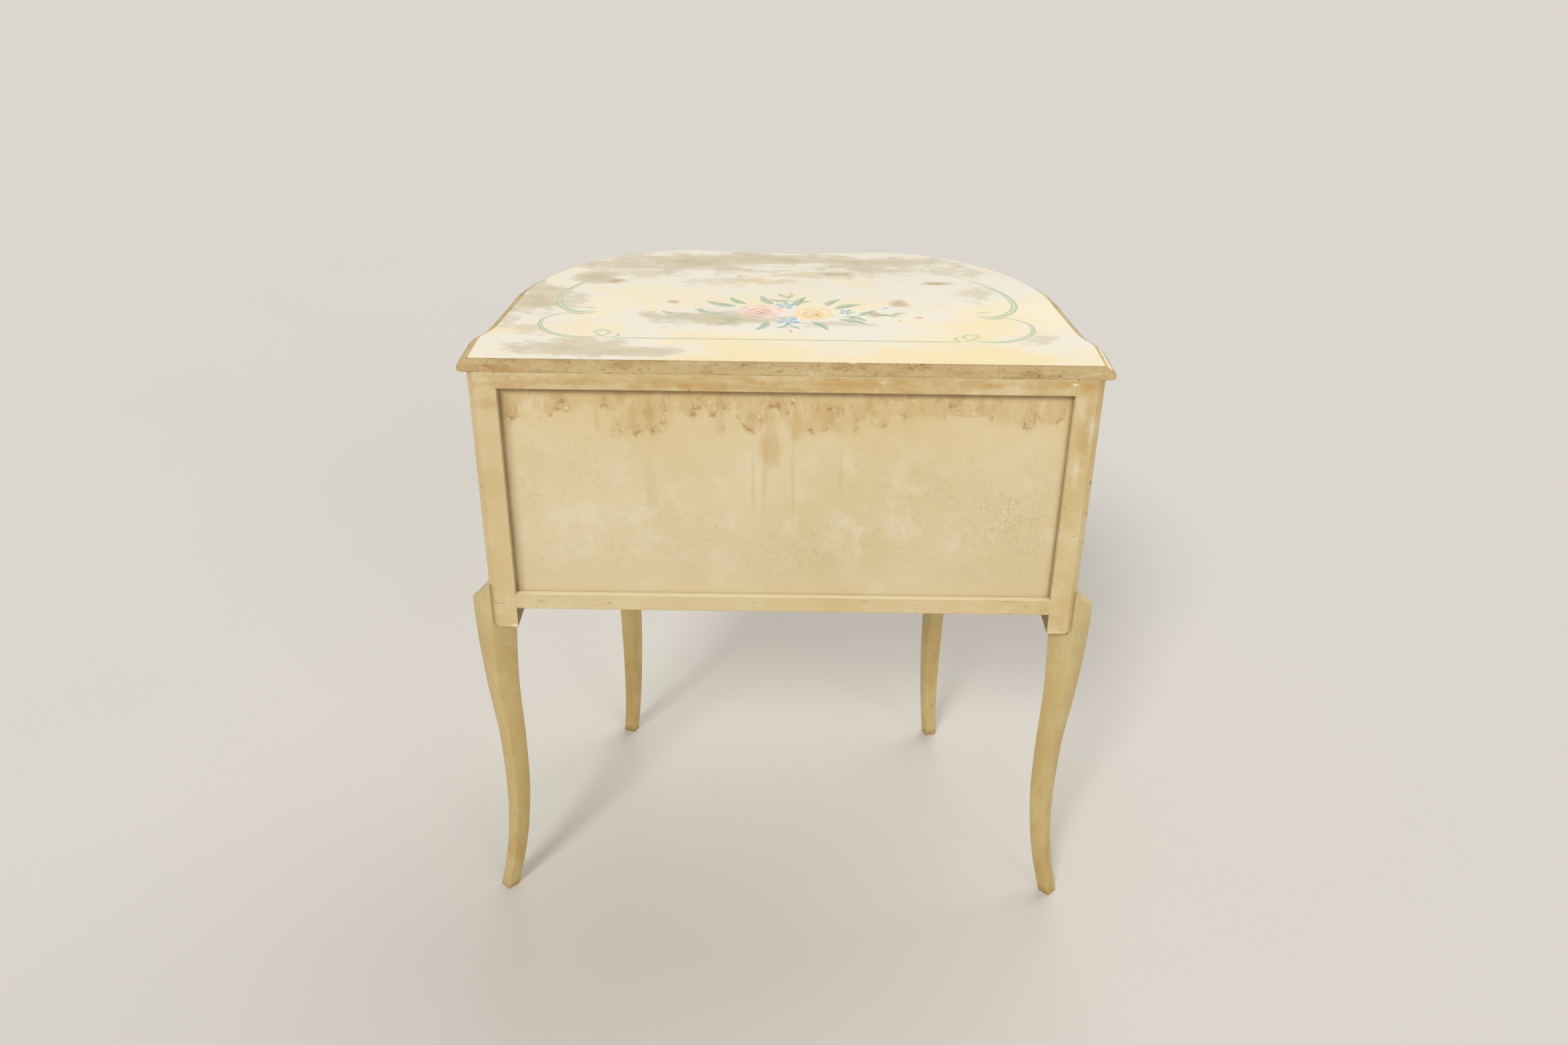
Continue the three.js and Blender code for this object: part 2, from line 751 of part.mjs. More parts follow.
// Swan-necked bail hanging from the two eyes, thickest at the grip
function bail(x, height, pivotForward) {
  const half = pullSpacing / 2;
  const pinRadius = pinDiameter / 2;
  const gripRadius = gripDiameter / 2;
  const tip = half - eyeDiameter * 0.34;
  const shoulder = half + bailShoulder;
  const path = [
    [tip, 0],
    [half + eyeDiameter * 0.35, 0],
    [shoulder * 0.98, -bailDrop * 0.05],
    [shoulder * 1.02, -bailDrop * 0.22],
    [shoulder * 0.9, -bailDrop * 0.48],
    [shoulder * 0.78, -bailDrop * 0.75],
    [shoulder * 0.55, -bailDrop * 0.95],
    [shoulder * 0.25, -bailDrop],
  ];
  const right = path.map(([across, up]) => new THREE.Vector3(across, 0, up));
  const left = path.slice().reverse().map(([across, up]) => new THREE.Vector3(-across, 0, up));
  const curve = new THREE.CatmullRomCurve3([...right, ...left], false, 'centripetal');
  const steps = 32;
  const sides = 8;
  const rings = [];
  for (let step = 0; step <= steps; step += 1) {
    const share = step / steps;
    const point = curve.getPoint(share);
    const along = curve.getTangent(share);
    const across = new THREE.Vector3(0, 1, 0);
    const out = new THREE.Vector3().crossVectors(across, along).normalize();
    const swell = Math.sin(Math.PI * share) ** 2;
    const radius = pinRadius + (gripRadius - pinRadius) * swell;
    const ring = [];
    for (let i = 0; i < sides; i += 1) {
      const angle = (i / sides) * Math.PI * 2;
      const place = point.clone().addScaledVector(out, radius * Math.cos(angle));
      ring.push(place.addScaledVector(across, radius * Math.sin(angle)));
    }
    rings.push(ring);
  }
  return loft(rings).translate([x, -pivotForward, height]);
}

function addPulls(level, height) {
  const pivotForward = caseDepth + pivotStandoff;
  for (const side of [-1, 1]) {
    const word = side < 0 ? 'left' : 'right';
    const middle = side * pullOffset;
    const inner = middle - (side * pullSpacing) / 2;
    const outer = middle + (side * pullSpacing) / 2;
    add(`${level}_${word}_pull_post_inner`, pullPost(inner, height, pivotForward), 'agedBrass');
    add(`${level}_${word}_pull_post_outer`, pullPost(outer, height, pivotForward), 'agedBrass');
    add(`${level}_${word}_bail`, bail(middle, height, pivotForward), 'agedBrass');
  }
}

function addCase() {
  add('top_board', topBoard(), 'paintedTop');
  add('back_top_rail', backRail(openingTop, railTop), 'paintedCase');
  const bottomRail = backRail(caseUnderside, caseUnderside + backBottomRailHeight);
  add('back_bottom_rail', bottomRail.subtract(bottomBoard(seatGap)), 'paintedCase');
  add('back_middle_rail', backMiddleRail(), 'bareBoard');
  add('back_panel', backPanel(0), 'paintedCase');
  const between = halfOpening - seatGap;
  const topRail = bowedStrip(0, -frontRailDepth, between, openingTop, railTop);
  const divider = bowedStrip(0, -frontRailDepth, between, dividerBottom, dividerTop);
  add('front_top_rail', topRail, 'paintedCase');
  add('drawer_divider', divider, 'paintedCase');
  add('front_apron', apron(), 'paintedCase');
  add('bottom_board', finishBottomBoard(), 'bareBoard');
  for (const side of [-1, 1]) {
    const word = side < 0 ? 'left' : 'right';
    add(`rear_post_${word}`, finishRearPost(side), 'paintedCase');
    add(`front_post_${word}`, frontPost(side), 'paintedCase');
    add(`side_panel_${word}`, sidePanel(side), 'paintedCase');
    const lowerRear = backRailThickness + seatGap;
    const lowerFront = -(apronThickness + seatGap);
    const lowerRunner = runner(side, boardTop + seatGap, openingBottom, lowerRear, lowerFront);
    add(`lower_runner_${word}`, lowerRunner, 'bareBoard');
    const upperRear = middleRailFront + seatGap;
    const upperFront = -(frontRailDepth + seatGap);
    const upperRunner = runner(side, dividerBottom, dividerTop, upperRear, upperFront);
    add(`upper_runner_${word}`, upperRunner, 'bareBoard');
    add(`top_kicker_${word}`, kicker(side), 'bareBoard');
    add(`lower_drawer_stop_${word}`, drawerStop(side, boardTop, openingBottom), 'bareBoard');
    add(`upper_drawer_stop_${word}`, drawerStop(side, dividerTop, dividerTop), 'bareBoard');
    const besidePost = glueBlock(side, postInner - seatGap, backRailThickness + seatGap, 1);
    add(`rear_glue_block_${word}`, besidePost, 'bareBoard');
    const behindPost = frontPostBack - seatGap;
    const corner = planAcross(-sideThickness, behindPost);
    add(`front_glue_block_${word}`, glueBlock(side, corner, behindPost, -1), 'bareBoard');
  }
}

function addLegs() {
  const leg = legBody();
  const caseNotch = caseRegion(seatGap, legHeight - seatGap, chestHeight);
  for (const side of [-1, 1]) {
    const word = side < 0 ? 'left' : 'right';
    const rearTurn = side < 0 ? Math.PI : 0;
    standLeg(`rear_leg_${word}`, leg, side * halfWidth, rearLegInset, rearTurn, cantedPost(side, seatGap));
    const across = side * (halfOpening + frontLegInboard);
    const frontTurn = side * frontLegTurn - Math.PI / 2;
    standLeg(`front_leg_${word}`, leg, across, caseDepth - frontLegInset, frontTurn, caseNotch);
  }
}

addCase();
addLegs();
addDrawer('lower', openingBottom);
addDrawer('upper', dividerTop);

// The origin is on the floor, at the middle of the chest's footprint
commode.updateMatrixWorld(true);
const footprint = new THREE.Box3().setFromObject(commode);
commode.position.y = -(footprint.min.y + footprint.max.y) / 2;

export default commode;
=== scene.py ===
# Looks for a small painted commode with a serpentine front, seen from behind and above.
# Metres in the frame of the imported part: +Z up, the drawers open toward -Y.

import json
import math
from functools import partial

import bmesh
import bpy
from mathutils import Matrix, Vector
from mathutils.bvhtree import BVHTree

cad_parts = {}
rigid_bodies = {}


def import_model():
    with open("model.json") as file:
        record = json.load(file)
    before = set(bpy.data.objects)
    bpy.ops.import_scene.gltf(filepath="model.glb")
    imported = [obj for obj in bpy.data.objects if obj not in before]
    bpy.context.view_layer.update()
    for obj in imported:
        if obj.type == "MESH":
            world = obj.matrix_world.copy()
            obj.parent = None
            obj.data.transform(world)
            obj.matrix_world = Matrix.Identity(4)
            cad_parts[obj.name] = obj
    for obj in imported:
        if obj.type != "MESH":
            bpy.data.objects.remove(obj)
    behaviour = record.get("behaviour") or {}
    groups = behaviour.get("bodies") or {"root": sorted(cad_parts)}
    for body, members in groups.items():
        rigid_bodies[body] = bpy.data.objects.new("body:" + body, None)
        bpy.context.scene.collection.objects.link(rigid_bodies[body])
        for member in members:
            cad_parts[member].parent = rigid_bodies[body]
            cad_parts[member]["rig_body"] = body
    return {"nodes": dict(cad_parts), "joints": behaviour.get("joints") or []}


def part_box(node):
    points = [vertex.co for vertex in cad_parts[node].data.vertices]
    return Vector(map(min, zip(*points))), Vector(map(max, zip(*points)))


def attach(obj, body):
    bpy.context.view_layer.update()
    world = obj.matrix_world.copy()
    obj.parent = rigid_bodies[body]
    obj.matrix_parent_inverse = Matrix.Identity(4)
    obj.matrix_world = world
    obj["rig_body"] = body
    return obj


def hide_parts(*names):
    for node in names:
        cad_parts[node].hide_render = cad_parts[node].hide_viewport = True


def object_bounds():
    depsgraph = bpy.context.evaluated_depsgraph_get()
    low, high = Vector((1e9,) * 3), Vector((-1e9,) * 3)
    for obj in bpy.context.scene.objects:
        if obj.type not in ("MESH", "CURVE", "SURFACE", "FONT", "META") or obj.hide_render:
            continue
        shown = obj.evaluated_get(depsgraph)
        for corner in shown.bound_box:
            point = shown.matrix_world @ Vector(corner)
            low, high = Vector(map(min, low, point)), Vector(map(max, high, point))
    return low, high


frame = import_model()
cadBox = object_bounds()
nodes = frame["nodes"]
mm = 0.001


def linear(code):
    shares = [int(code[i:i + 2], 16) / 255 for i in (1, 3, 5)]
    return [s / 12.92 if s <= 0.04045 else ((s + 0.055) / 1.055) ** 2.4 for s in shares] + [1.0]


def addNode(tree, kind, inputs=None, out=0, **settings):
    node = tree.nodes.new("ShaderNode" + kind)
    for name, value in settings.items():
        setattr(node, name, value)
    for key, value in (inputs or {}).items():
        if isinstance(value, bpy.types.NodeSocket):
            tree.links.new(value, node.inputs[key])
        else:
            node.inputs[key].default_value = value
    if not len(node.outputs):
        return node
    return node.outputs if out is None else node.outputs[out]


def metres(sizes):
    return [size * mm for size in sizes]


# Settings that many nodes share
soft = {"interpolation_type": "SMOOTHSTEP"}
inColour = {"out": 2, "data_type": "RGBA"}
multiply = {"operation": "MULTIPLY"}
multiplyAdd = {"operation": "MULTIPLY_ADD"}
plus = {"operation": "ADD"}
larger = {"operation": "MAXIMUM"}


# Gives the material, what adds a node to it, and its coordinates in the frame of the part
def startMaterial(name):
    material = bpy.data.materials.new(name)
    material.use_nodes = True
    material.node_tree.nodes.clear()
    node = partial(addNode, material.node_tree)
    return material, node, node("TexCoord", out="Object")


# Noise cut to patches: grain is its scale, detail and roughness; cut is where it rises, then its two shares
def patches(node, coords, grain, cut, stretch=None):
    if stretch:
        coords = node("VectorMath", {0: coords, 1: stretch}, **multiply)
    noise = node("TexNoise", {"Vector": coords, "Scale": grain[0], "Detail": grain[1], "Roughness": grain[2]})
    return node("MapRange", dict(enumerate((noise, *cut))), **soft)


# A colour laid on where a measure passes through the range of cut, between the two shares that may follow it
def glaze(node, under, over, measure, cut):
    share = node("MapRange", dict(enumerate((measure, *cut))), **soft)
    return node("Mix", {0: share, 6: under, 7: linear(over)}, **inColour)


# Shares multiplied one after another
def together(node, share, *others):
    for other in others:
        share = node("Math", {0: share, 1: other}, **multiply)
    return share


# A colour laid on as far as two shares or more allow together
def tint(node, under, over, *shares):
    return node("Mix", {0: together(node, *shares), 6: under, 7: linear(over)}, **inColour)


# The surface of a finish: raised by a height, and as rough as a measure puts it between the values of cut
def surface(node, colour, height, strength, depthMm, measure, cut, eased=None, **more):
    relief = {"Height": height, "Strength": strength, "Distance": depthMm * mm}
    if eased:
        relief["Normal"] = eased
    gloss = node("MapRange", dict(enumerate((measure, *cut))))
    return node("BsdfPrincipled", {"Base Color": colour, "Roughness": gloss, "Normal": node("Bump", relief),
                                   **more})


# Over zero inside any of the ellipses (middle and half size in mm on two axes), falling off outside
def insideSpots(node, coords, spots, axes=(0, 1)):
    field = None
    for spot in spots:
        scale, shift = [0.0, 0.0, 0.0], [0.0, 0.0, 0.0]
        for axis, middle, half in zip(axes, spot[:2], spot[2:]):
            scale[axis], shift[axis] = 1000 / half, -middle / half
        moved = node("VectorMath", {0: coords, 1: scale, 2: shift}, **multiplyAdd)
        reach = node("VectorMath", {0: moved}, out="Value", operation="LENGTH")
        inside = node("Math", {0: 1.0, 1: reach}, operation="SUBTRACT")
        field = inside if field is None else node("Math", {0: field, 1: inside}, **larger)
    return field


# The same, with an edge torn by noise: gives the mask, 1 inside, and the field that it is cut from
def tornSpots(node, coords, spots, grainMm, stretch, low, high, amount, axes=(0, 1)):
    drawn = node("VectorMath", {0: coords, 1: stretch}, **multiply)
    torn = node("TexNoise", {"Vector": drawn, "Scale": 1000 / grainMm, "Detail": 7, "Roughness": 0.6})
    shift = node("Math", {0: torn, 1: amount, 2: -amount / 2}, **multiplyAdd)
    field = node("Math", {0: insideSpots(node, coords, spots, axes), 1: shift}, **plus)
    return node("MapRange", {0: field, 1: low, 2: high}, **soft), field


# Hairlines between cells of dried paint; stretch draws the cells out along an axis
def crackle(node, coords, cellMm, stretch, region):
    drift = node("TexNoise", {"Vector": coords, "Scale": 900 / cellMm, "Detail": 3.0}, out="Color")
    bent = node("VectorMath", {0: drift, 1: [cellMm * 0.0009] * 3, 2: coords}, **multiplyAdd)
    drawn = node("VectorMath", {0: bent, 1: stretch}, **multiply)
    rim = node("TexVoronoi", {"Vector": drawn, "Scale": 1000 / cellMm}, feature="DISTANCE_TO_EDGE")
    line = node("MapRange", {0: rim, 1: 0.02, 2: 0.055, 3: 1.0, 4: 0.0}, **soft)
    parted = patches(node, coords, (480 / cellMm, 3.0, 0.5), (0.34, 0.56))
    return together(node, line, parted, region)


# Paint

paintLooks = {
    "base": "#dac596", "warm": "#d2b780", "pale": "#e1d2ab",
    "grime": "#8f7040", "worn": "#6f4d22", "crack": "#93753f",
    "cloudMm": 170, "mottleMm": 38, "brushMm": 6,
    "easedMm": 1.3, "wear": 0.6, "wearFrom": 0.52, "grimeMm": 10, "grimeAmount": 0.4,
    "cellMm": 8, "cellStretch": (1, 1, 1), "cracks": 0.4, "cracksFrom": 0.52,
    "roughness": 0.44,
}


def vary(**changes):
    return {**paintLooks, **changes}


# Brushed oil paint over a brown ground: yellowed in clouds, crackled where it is thick, rubbed through on its
# edges and darkened in its corners by dirt and painted shade; half gloss, with faint brush marks
def agedPaint(name, looks, *layers):
    material, node, coords = startMaterial(name)
    cloud = node("TexNoise", {"Vector": coords, "Scale": 1000 / looks["cloudMm"], "Detail": 4})
    mottle = node("TexNoise", {
        "Vector": coords, "Scale": 1000 / looks["mottleMm"], "Detail": 5, "Roughness": 0.62})
    fleck = node("TexNoise", {"Vector": coords, "Scale": 420, "Detail": 3, "Roughness": 0.7})
    colour = glaze(node, linear(looks["base"]), looks["warm"], cloud, (0.38, 0.64))
    colour = glaze(node, colour, looks["pale"], mottle, (0.46, 0.76, 0, 0.6))
    colour = glaze(node, colour, looks["grime"], fleck, (0.6, 0.8, 0, 0.16))
    brushed = node("TexNoise", {"Vector": coords, "Scale": 1000 / looks["brushMm"], "Detail": 4})
    height = node("Math", {0: brushed, 1: 0.16}, **multiply)
    for layer in layers:
        colour, height = layer(node, coords, colour, height)

    if looks["cracks"]:
        region = patches(node, coords, (13, 4, 0.6), (looks["cracksFrom"], looks["cracksFrom"] + 0.14))
        cracks = crackle(node, coords, looks["cellMm"], looks["cellStretch"], region)
        colour = tint(node, colour, looks["crack"], cracks, looks["cracks"])
        height = node("Math", {0: cracks, 1: -0.5, 2: height}, **multiplyAdd)

    # Dirt and painted shade darken the corners and hollows
    hollow = node("AmbientOcclusion", {"Distance": looks["grimeMm"] * mm}, out="AO", samples=6)
    dirt = node("MapRange", {0: hollow, 1: 0.9, 2: 0.35, 4: looks["grimeAmount"]}, **soft)
    colour = node("Mix", {0: dirt, 6: colour, 7: linear(looks["grime"])}, **inColour, blend_type="MULTIPLY")

    # Edges are rubbed through to the ground in short lengths
    eased = node("Bevel", {"Radius": looks["easedMm"] * mm}, samples=6)
    flat = node("NewGeometry", out="True Normal")
    turn = node("VectorMath", {0: eased, 1: flat}, out="Value", operation="DOT_PRODUCT")
    arris = node("MapRange", {0: turn, 1: 0.985, 2: 0.88}, **soft)
    rub = patches(node, coords, (55, 6, 0.75), (looks["wearFrom"], looks["wearFrom"] + 0.08))
    edge = node("Math", {0: arris, 1: rub}, **multiply)
    colour = tint(node, colour, looks["worn"], edge, looks["wear"])
    height = node("Math", {0: edge, 1: -0.3, 2: height}, **multiplyAdd)

    gloss = (0.3, 0.75, looks["roughness"], looks["roughness"] + 0.16)
    node("OutputMaterial", {"Surface": surface(node, colour, height, 0.5, 0.6, mottle, gloss, eased=eased)})
    return material


# Water ran down the back: a mottled band under the rail, blots with thin brown rims, and faint runs below;
# painted shadow darkens the recess under the rail and the panel beside the posts
stainLooks = {
    "golden": "#dec287", "damp": "#c39b55", "rim": "#a8782f", "lime": "#f0e6c8", "run": "#c4a25e",
    "line": "#9a7136", "recess": "#745427", "floorward": "#d2bd92", "scratch": "#a8824a", "topMm": 731,
    "sideMm": 312, "lowMm": 648, "goldenMm": 600, "floorwardMm": (570, 470), "shadeMm": 14, "fill": 0.28,
    "rimShare": 0.68,
    "blots": [(159, 692, 30, 18), (38, 696, 15, 13), (-48, 694, 27, 15), (-257, 700, 17, 13),
              (-291, 703, 14, 12), (207, 694, 3.4, 18), (71, 694, 4, 18), (-101, 698, 11, 12),
              (-150, 707, 100, 6), (-207, 707, 55, 7), (239, 707, 12, 8), (110, 707, 10, 12)],
    "soaked": [(18, 664, 13, 40), (-11, 690, 9, 34), (28, 694, 20, 16), (-50, 702, 30, 20),
               (159, 700, 26, 14)],
    "runs": [(36, 620, 4, 62), (-9, 610, 4, 76), (23, 616, 4, 58), (150, 610, 9, 50), (-62, 625, 4, 40)],
    "crazedDark": [(-262, 584, 40, 60)],
    "crazed": [(-190, 566, 140, 90), (-60, 540, 100, 60), (-290, 560, 44, 100)],
    "split": [(284, 560, 50, 110), (160, 540, 150, 70), (240, 630, 90, 60), (20, 520, 100, 45)],
    "scratches": [(-84.5, 660, 0.9, 1.8), (-79, 642, 0.5, 6), (-74, 613, 0.9, 2), (-194, 649, 0.7, 2.4),
                  (-207, 650, 0.6, 2.8), (-171, 682, 3.2, 0.5), (78, 561, 0.7, 5), (-248, 501, 1.2, 0.9),
                  (160, 586, 2.2, 0.8), (-309, 619, 0.8, 1.6), (-309, 496, 0.8, 1.6)],
    "chips": [(160.6, 583.8, 2.6, 0.9), (239, 705, 2.2, 1.8)],
}


def waterStains(node, coords, colour, height):
    looks = stainLooks
    across, _, up = node("SeparateXYZ", {0: coords}, out=None)
    colour = glaze(node, colour, looks["golden"], up, (looks["goldenMm"] * mm, looks["topMm"] * mm, 0, 0.5))
    colour = glaze(node, colour, looks["floorward"], up, (*metres(looks["floorwardMm"]), 0, 0.4))

    runs, _ = tornSpots(node, coords, looks["runs"], 7, (1, 1, 0.08), -0.1, 1.0, 2.2, (0, 2))
    colour = tint(node, colour, looks["run"], runs, 0.24)

    band = node("MapRange", {0: up, 1: looks["lowMm"] * mm, 2: looks["topMm"] * mm, 3: -1.6, 4: 0.8})
    spots = insideSpots(node, coords, looks["blots"], (0, 2))
    field = node("Math", {0: spots, 1: band}, **larger)
    drawn = node("VectorMath", {0: coords, 1: (1.25, 1, 0.7)}, **multiply)
    wavy = node("TexNoise", {"Vector": drawn, "Scale": 40, "Detail": 2.5, "Roughness": 0.5})
    fine = node("TexNoise", {"Vector": drawn, "Scale": 150, "Detail": 4})
    marks = node("TexNoise", {"Vector": drawn, "Scale": 50, "Detail": 6, "Roughness": 0.66})
    wet = node("Math", {0: wavy, 1: 1.9, 2: field}, **multiplyAdd)
    wet = node("Math", {0: fine, 1: 0.9, 2: wet}, **multiplyAdd)
    wet = node("Math", {0: wet, 1: 1.4}, operation="SUBTRACT")
    inside = node("MapRange", {0: wet, 1: -0.4, 2: 0.4, 4: looks["fill"]}, **soft)
    soaked, _ = tornSpots(node, coords, looks["soaked"], 11, (1.2, 1, 0.32), -0.3, 0.9, 2.8, (0, 2))
    soaked = node("Math", {0: soaked, 1: 0.48}, **multiply)
    inside = node("Math", {0: inside, 1: soaked}, **larger)
    colour = node("Mix", {0: inside, 6: colour, 7: linear(looks["damp"])}, **inColour)
    nearBand = node("MapRange", {0: wet, 1: -0.5, 2: 0.2}, **soft)
    blotch = node("MapRange", {0: marks, 1: 0.46, 2: 0.68, 4: 0.34}, **soft)
    colour = tint(node, colour, looks["rim"], blotch, nearBand)

    # Each drying left a thin broken rim, darkest at its lower edge
    near = node("MapRange", {0: wet, 1: -0.07, 2: 0.04}, **soft)
    past = node("MapRange", {0: wet, 1: 0.03, 2: 0.26, 3: looks["rimShare"], 4: 0.0}, **soft)
    kept = node("MapRange", {0: marks, 1: 0.46, 2: 0.62}, **soft)
    colour = tint(node, colour, looks["rim"], near, past, kept)

    # Lime dried in pale spots and smears along the band
    dots = node("TexVoronoi", {"Vector": coords, "Scale": 110})
    dots = node("MapRange", {0: dots, 1: 0.04, 2: 0.3, 3: 0.8, 4: 0.0}, **soft)
    smears = node("MapRange", {0: marks, 1: 0.46, 2: 0.32, 4: 0.8}, **soft)
    limed = node("Math", {0: dots, 1: smears}, **larger)
    patchy = patches(node, coords, (26, 3, 0.5), (0.42, 0.58, 0, 0.62))
    colour = tint(node, colour, looks["lime"], patchy, nearBand, limed)

    # Crazed like dry mud toward one corner, split in short level hairlines toward the other
    crazing = ((looks["crazed"], 5, (1, 1, 1), 0.2), (looks["crazedDark"], 5, (1, 1, 1), 0.18),
               (looks["split"], 4.4, (0.5, 1, 1.6), 0.17))
    for spots, cellMm, stretch, depth in crazing:
        region, _ = tornSpots(node, coords, spots, 22, (1, 1, 1), -0.3, 0.7, 1.6, (0, 2))
        cracks = crackle(node, coords, cellMm, stretch, region)
        colour = tint(node, colour, looks["line"], cracks, depth)
        height = node("Math", {0: cracks, 1: -0.25, 2: height}, **multiplyAdd)

    for spots, tone, share in ((looks["scratches"], looks["scratch"], 0.6),
                               (looks["chips"], looks["lime"], 0.8)):
        mark, _ = tornSpots(node, coords, spots, 3, (1, 1, 1), 0.0, 0.6, 1.4, (0, 2))
        colour = tint(node, colour, tone, mark, share)

    # Painted shadow: darker under the top rail and beside the posts, broken up by noise
    shade = node("MapRange", {0: up, 1: (looks["topMm"] - looks["shadeMm"]) * mm, 2: looks["topMm"] * mm,
                              4: 0.85}, **soft)
    for side, reach, share in ((1, 15, 0.55), (-1, 5, 0.6)):
        edge = looks["sideMm"] * side
        beside = node("MapRange", {0: across, 1: (edge - side * reach) * mm, 2: edge * mm, 4: share}, **soft)
        shade = node("Math", {0: shade, 1: beside}, **larger)
    uneven = node("MapRange", {0: wavy, 1: 0.35, 2: 0.6, 3: 0.75, 4: 1.0})
    return tint(node, colour, looks["recess"], shade, uneven), height


# Damp under the top has browned the heads of the posts and the rail between them; further down they have
# split in short level hairlines, and their ends are chipped
frameLooks = {
    "brown": "#bd8b3c", "pale": "#efe3c4", "ledge": "#f9eec9", "line": "#96713a", "chip": "#efe8d2",
    "nick": "#5d4322", "shaded": "#73511f", "fromMm": 690, "toMm": 744, "underMm": 452.6,
    "behindMm": (203, 207), "splitMm": (660, 600),
    "browned": [(297, 741, 22, 12), (319, 712, 14, 9), (-326, 742, 22, 8), (-296, 743, 22, 6),
                (-327, 676, 9, 30), (200, 740, 90, 5), (90, 737, 60, 5), (-60, 740, 110, 5),
                (-210, 741, 60, 5), (0, 735, 60, 4)],
    "rubbed": [(-320, 718, 9, 16), (-334, 690, 4, 26), (-322, 640, 5, 20)],
    "chips": [(316.2, 429.6, 4, 2.2), (-316, 429, 2.4, 1.4), (-309, 743.5, 4.5, 1.2)],
    "nicks": [(337, 427.6, 3, 1.1), (-342, 624, 1.2, 3), (-342, 584, 1, 2), (-341, 548, 1, 2),
              (339, 610, 1, 2), (-336, 427.6, 2.4, 1.2), (-315, 594, 1.2, 1), (104, 731, 1.4, 1),
              (-120, 731, 1, 1)],
}


def agedFrame(node, coords, colour, height):
    looks = frameLooks
    across, deep, up = node("SeparateXYZ", {0: coords}, out=None)
    start, full = metres(looks["behindMm"])
    behind = node("MapRange", {0: deep, 1: start, 2: full}, **soft)
    near = node("MapRange", {0: up, 1: looks["fromMm"] * mm, 2: looks["toMm"] * mm}, **soft)
    drawn = node("VectorMath", {0: coords, 1: (0.5, 1, 1)}, **multiply)
    blotch = node("TexNoise", {"Vector": drawn, "Scale": 70, "Detail": 7, "Roughness": 0.68})
    blot = node("MapRange", {0: blotch, 1: 0.42, 2: 0.66, 4: 0.46}, **soft)
    colour = tint(node, colour, looks["brown"], blot, near)
    browned, _ = tornSpots(node, coords, looks["browned"], 9, (0.5, 1, 1), -0.4, 1.0, 3.0, (0, 2))
    colour = tint(node, colour, looks["brown"], browned, 0.38, behind)
    specks = node("MapRange", {0: blotch, 1: 0.42, 2: 0.3, 4: 0.65}, **soft)
    specks = node("Math", {0: specks, 1: near}, **multiply)
    rubbed, _ = tornSpots(node, coords, looks["rubbed"], 7, (1, 1, 0.4), -0.3, 0.9, 2.6, (0, 2))
    rubbed = together(node, rubbed, 0.42, behind)
    specks = node("Math", {0: specks, 1: rubbed}, **larger)
    colour = node("Mix", {0: specks, 6: colour, 7: linear(looks["pale"])}, **inColour)

    start, full = metres(looks["splitMm"])
    below = node("MapRange", {0: up, 1: start, 2: full}, **soft)
    patchy = patches(node, coords, (26, 3, 0.5), (0.42, 0.6))
    cracks = patches(node, coords, (430, 2, 0.5), (0.64, 0.69), (0.11, 0.11, 1))
    cracks = together(node, below, patchy, cracks)
    fewer = node("MapRange", {0: behind, 3: 0.12, 4: 0.5})
    colour = tint(node, colour, looks["line"], cracks, fewer)
    height = node("Math", {0: cracks, 1: -0.3, 2: height}, **multiplyAdd)
    for spots, tone, share in ((looks["chips"], looks["chip"], 0.85), (looks["nicks"], looks["nick"], 0.75)):
        mark, _ = tornSpots(node, coords, spots, 2.5, (1, 1, 1), 0.0, 0.5, 2.4, (0, 2))
        colour = tint(node, colour, tone, mark, share, behind)

    # Painted highlight on faces turned up, like the ledge under the panel; painted shade on the posts' inner
    # sides below it
    normal = node("NewGeometry", out="True Normal")
    turned, _, facing = node("SeparateXYZ", {0: normal}, out=None)
    # Painted highlight: faces turned up are lighter
    colour = glaze(node, colour, looks["ledge"], facing, (0.5, 0.9, 0, 0.85))
    # Painted shade on the posts' inner sides below the case bottom
    aside = node("Math", {0: turned}, operation="ABSOLUTE")
    inward = node("Math", {0: turned, 1: across}, **multiply)
    inward = node("Math", {0: inward, 1: 0.0}, operation="LESS_THAN")
    aside = node("MapRange", {0: aside, 1: 0.8, 2: 0.95, 4: 0.85}, **soft)
    under = node("Math", {0: up, 1: looks["underMm"] * mm}, operation="LESS_THAN")
    return tint(node, colour, looks["shaded"], inward, under, aside), height


# The legs are palest at the shoulder, browned toward the feet and scuffed by the broom at their tips
legLooks = {"shoulder": "#dccb96", "shin": "#b8975a", "scuff": "#7b5c30", "shoulderMm": (330, 470),
            "shinMm": (340, 100), "tipMm": 35}


def agedLeg(node, coords, colour, height):
    looks = legLooks
    up = node("SeparateXYZ", {0: coords}, out="Z")
    colour = glaze(node, colour, looks["shoulder"], up, (*metres(looks["shoulderMm"]), 0, 0.6))
    browned = patches(node, coords, (90, 6, 0.65), (0.44, 0.7, 0, 0.5), (1, 1, 0.22))
    start, full = metres(looks["shinMm"])
    low = node("MapRange", {0: up, 1: start, 2: full, 3: 0.25, 4: 1.0}, **soft)
    colour = tint(node, colour, looks["shin"], browned, low)
    scuffs = node("TexNoise", {"Vector": coords, "Scale": 190, "Detail": 6, "Roughness": 0.72})
    tip = node("MapRange", {0: up, 1: looks["tipMm"] * mm, 2: 0.0, 4: 0.16}, **soft)
    scuffs = node("MapRange", {0: node("Math", {0: scuffs, 1: tip}, **plus), 1: 0.64, 2: 0.8, 4: 0.5}, **soft)
    colour = node("Mix", {0: scuffs, 6: colour, 7: linear(looks["scuff"])}, **inColour)
    return colour, node("Math", {0: scuffs, 1: -0.2, 2: height}, **multiplyAdd)


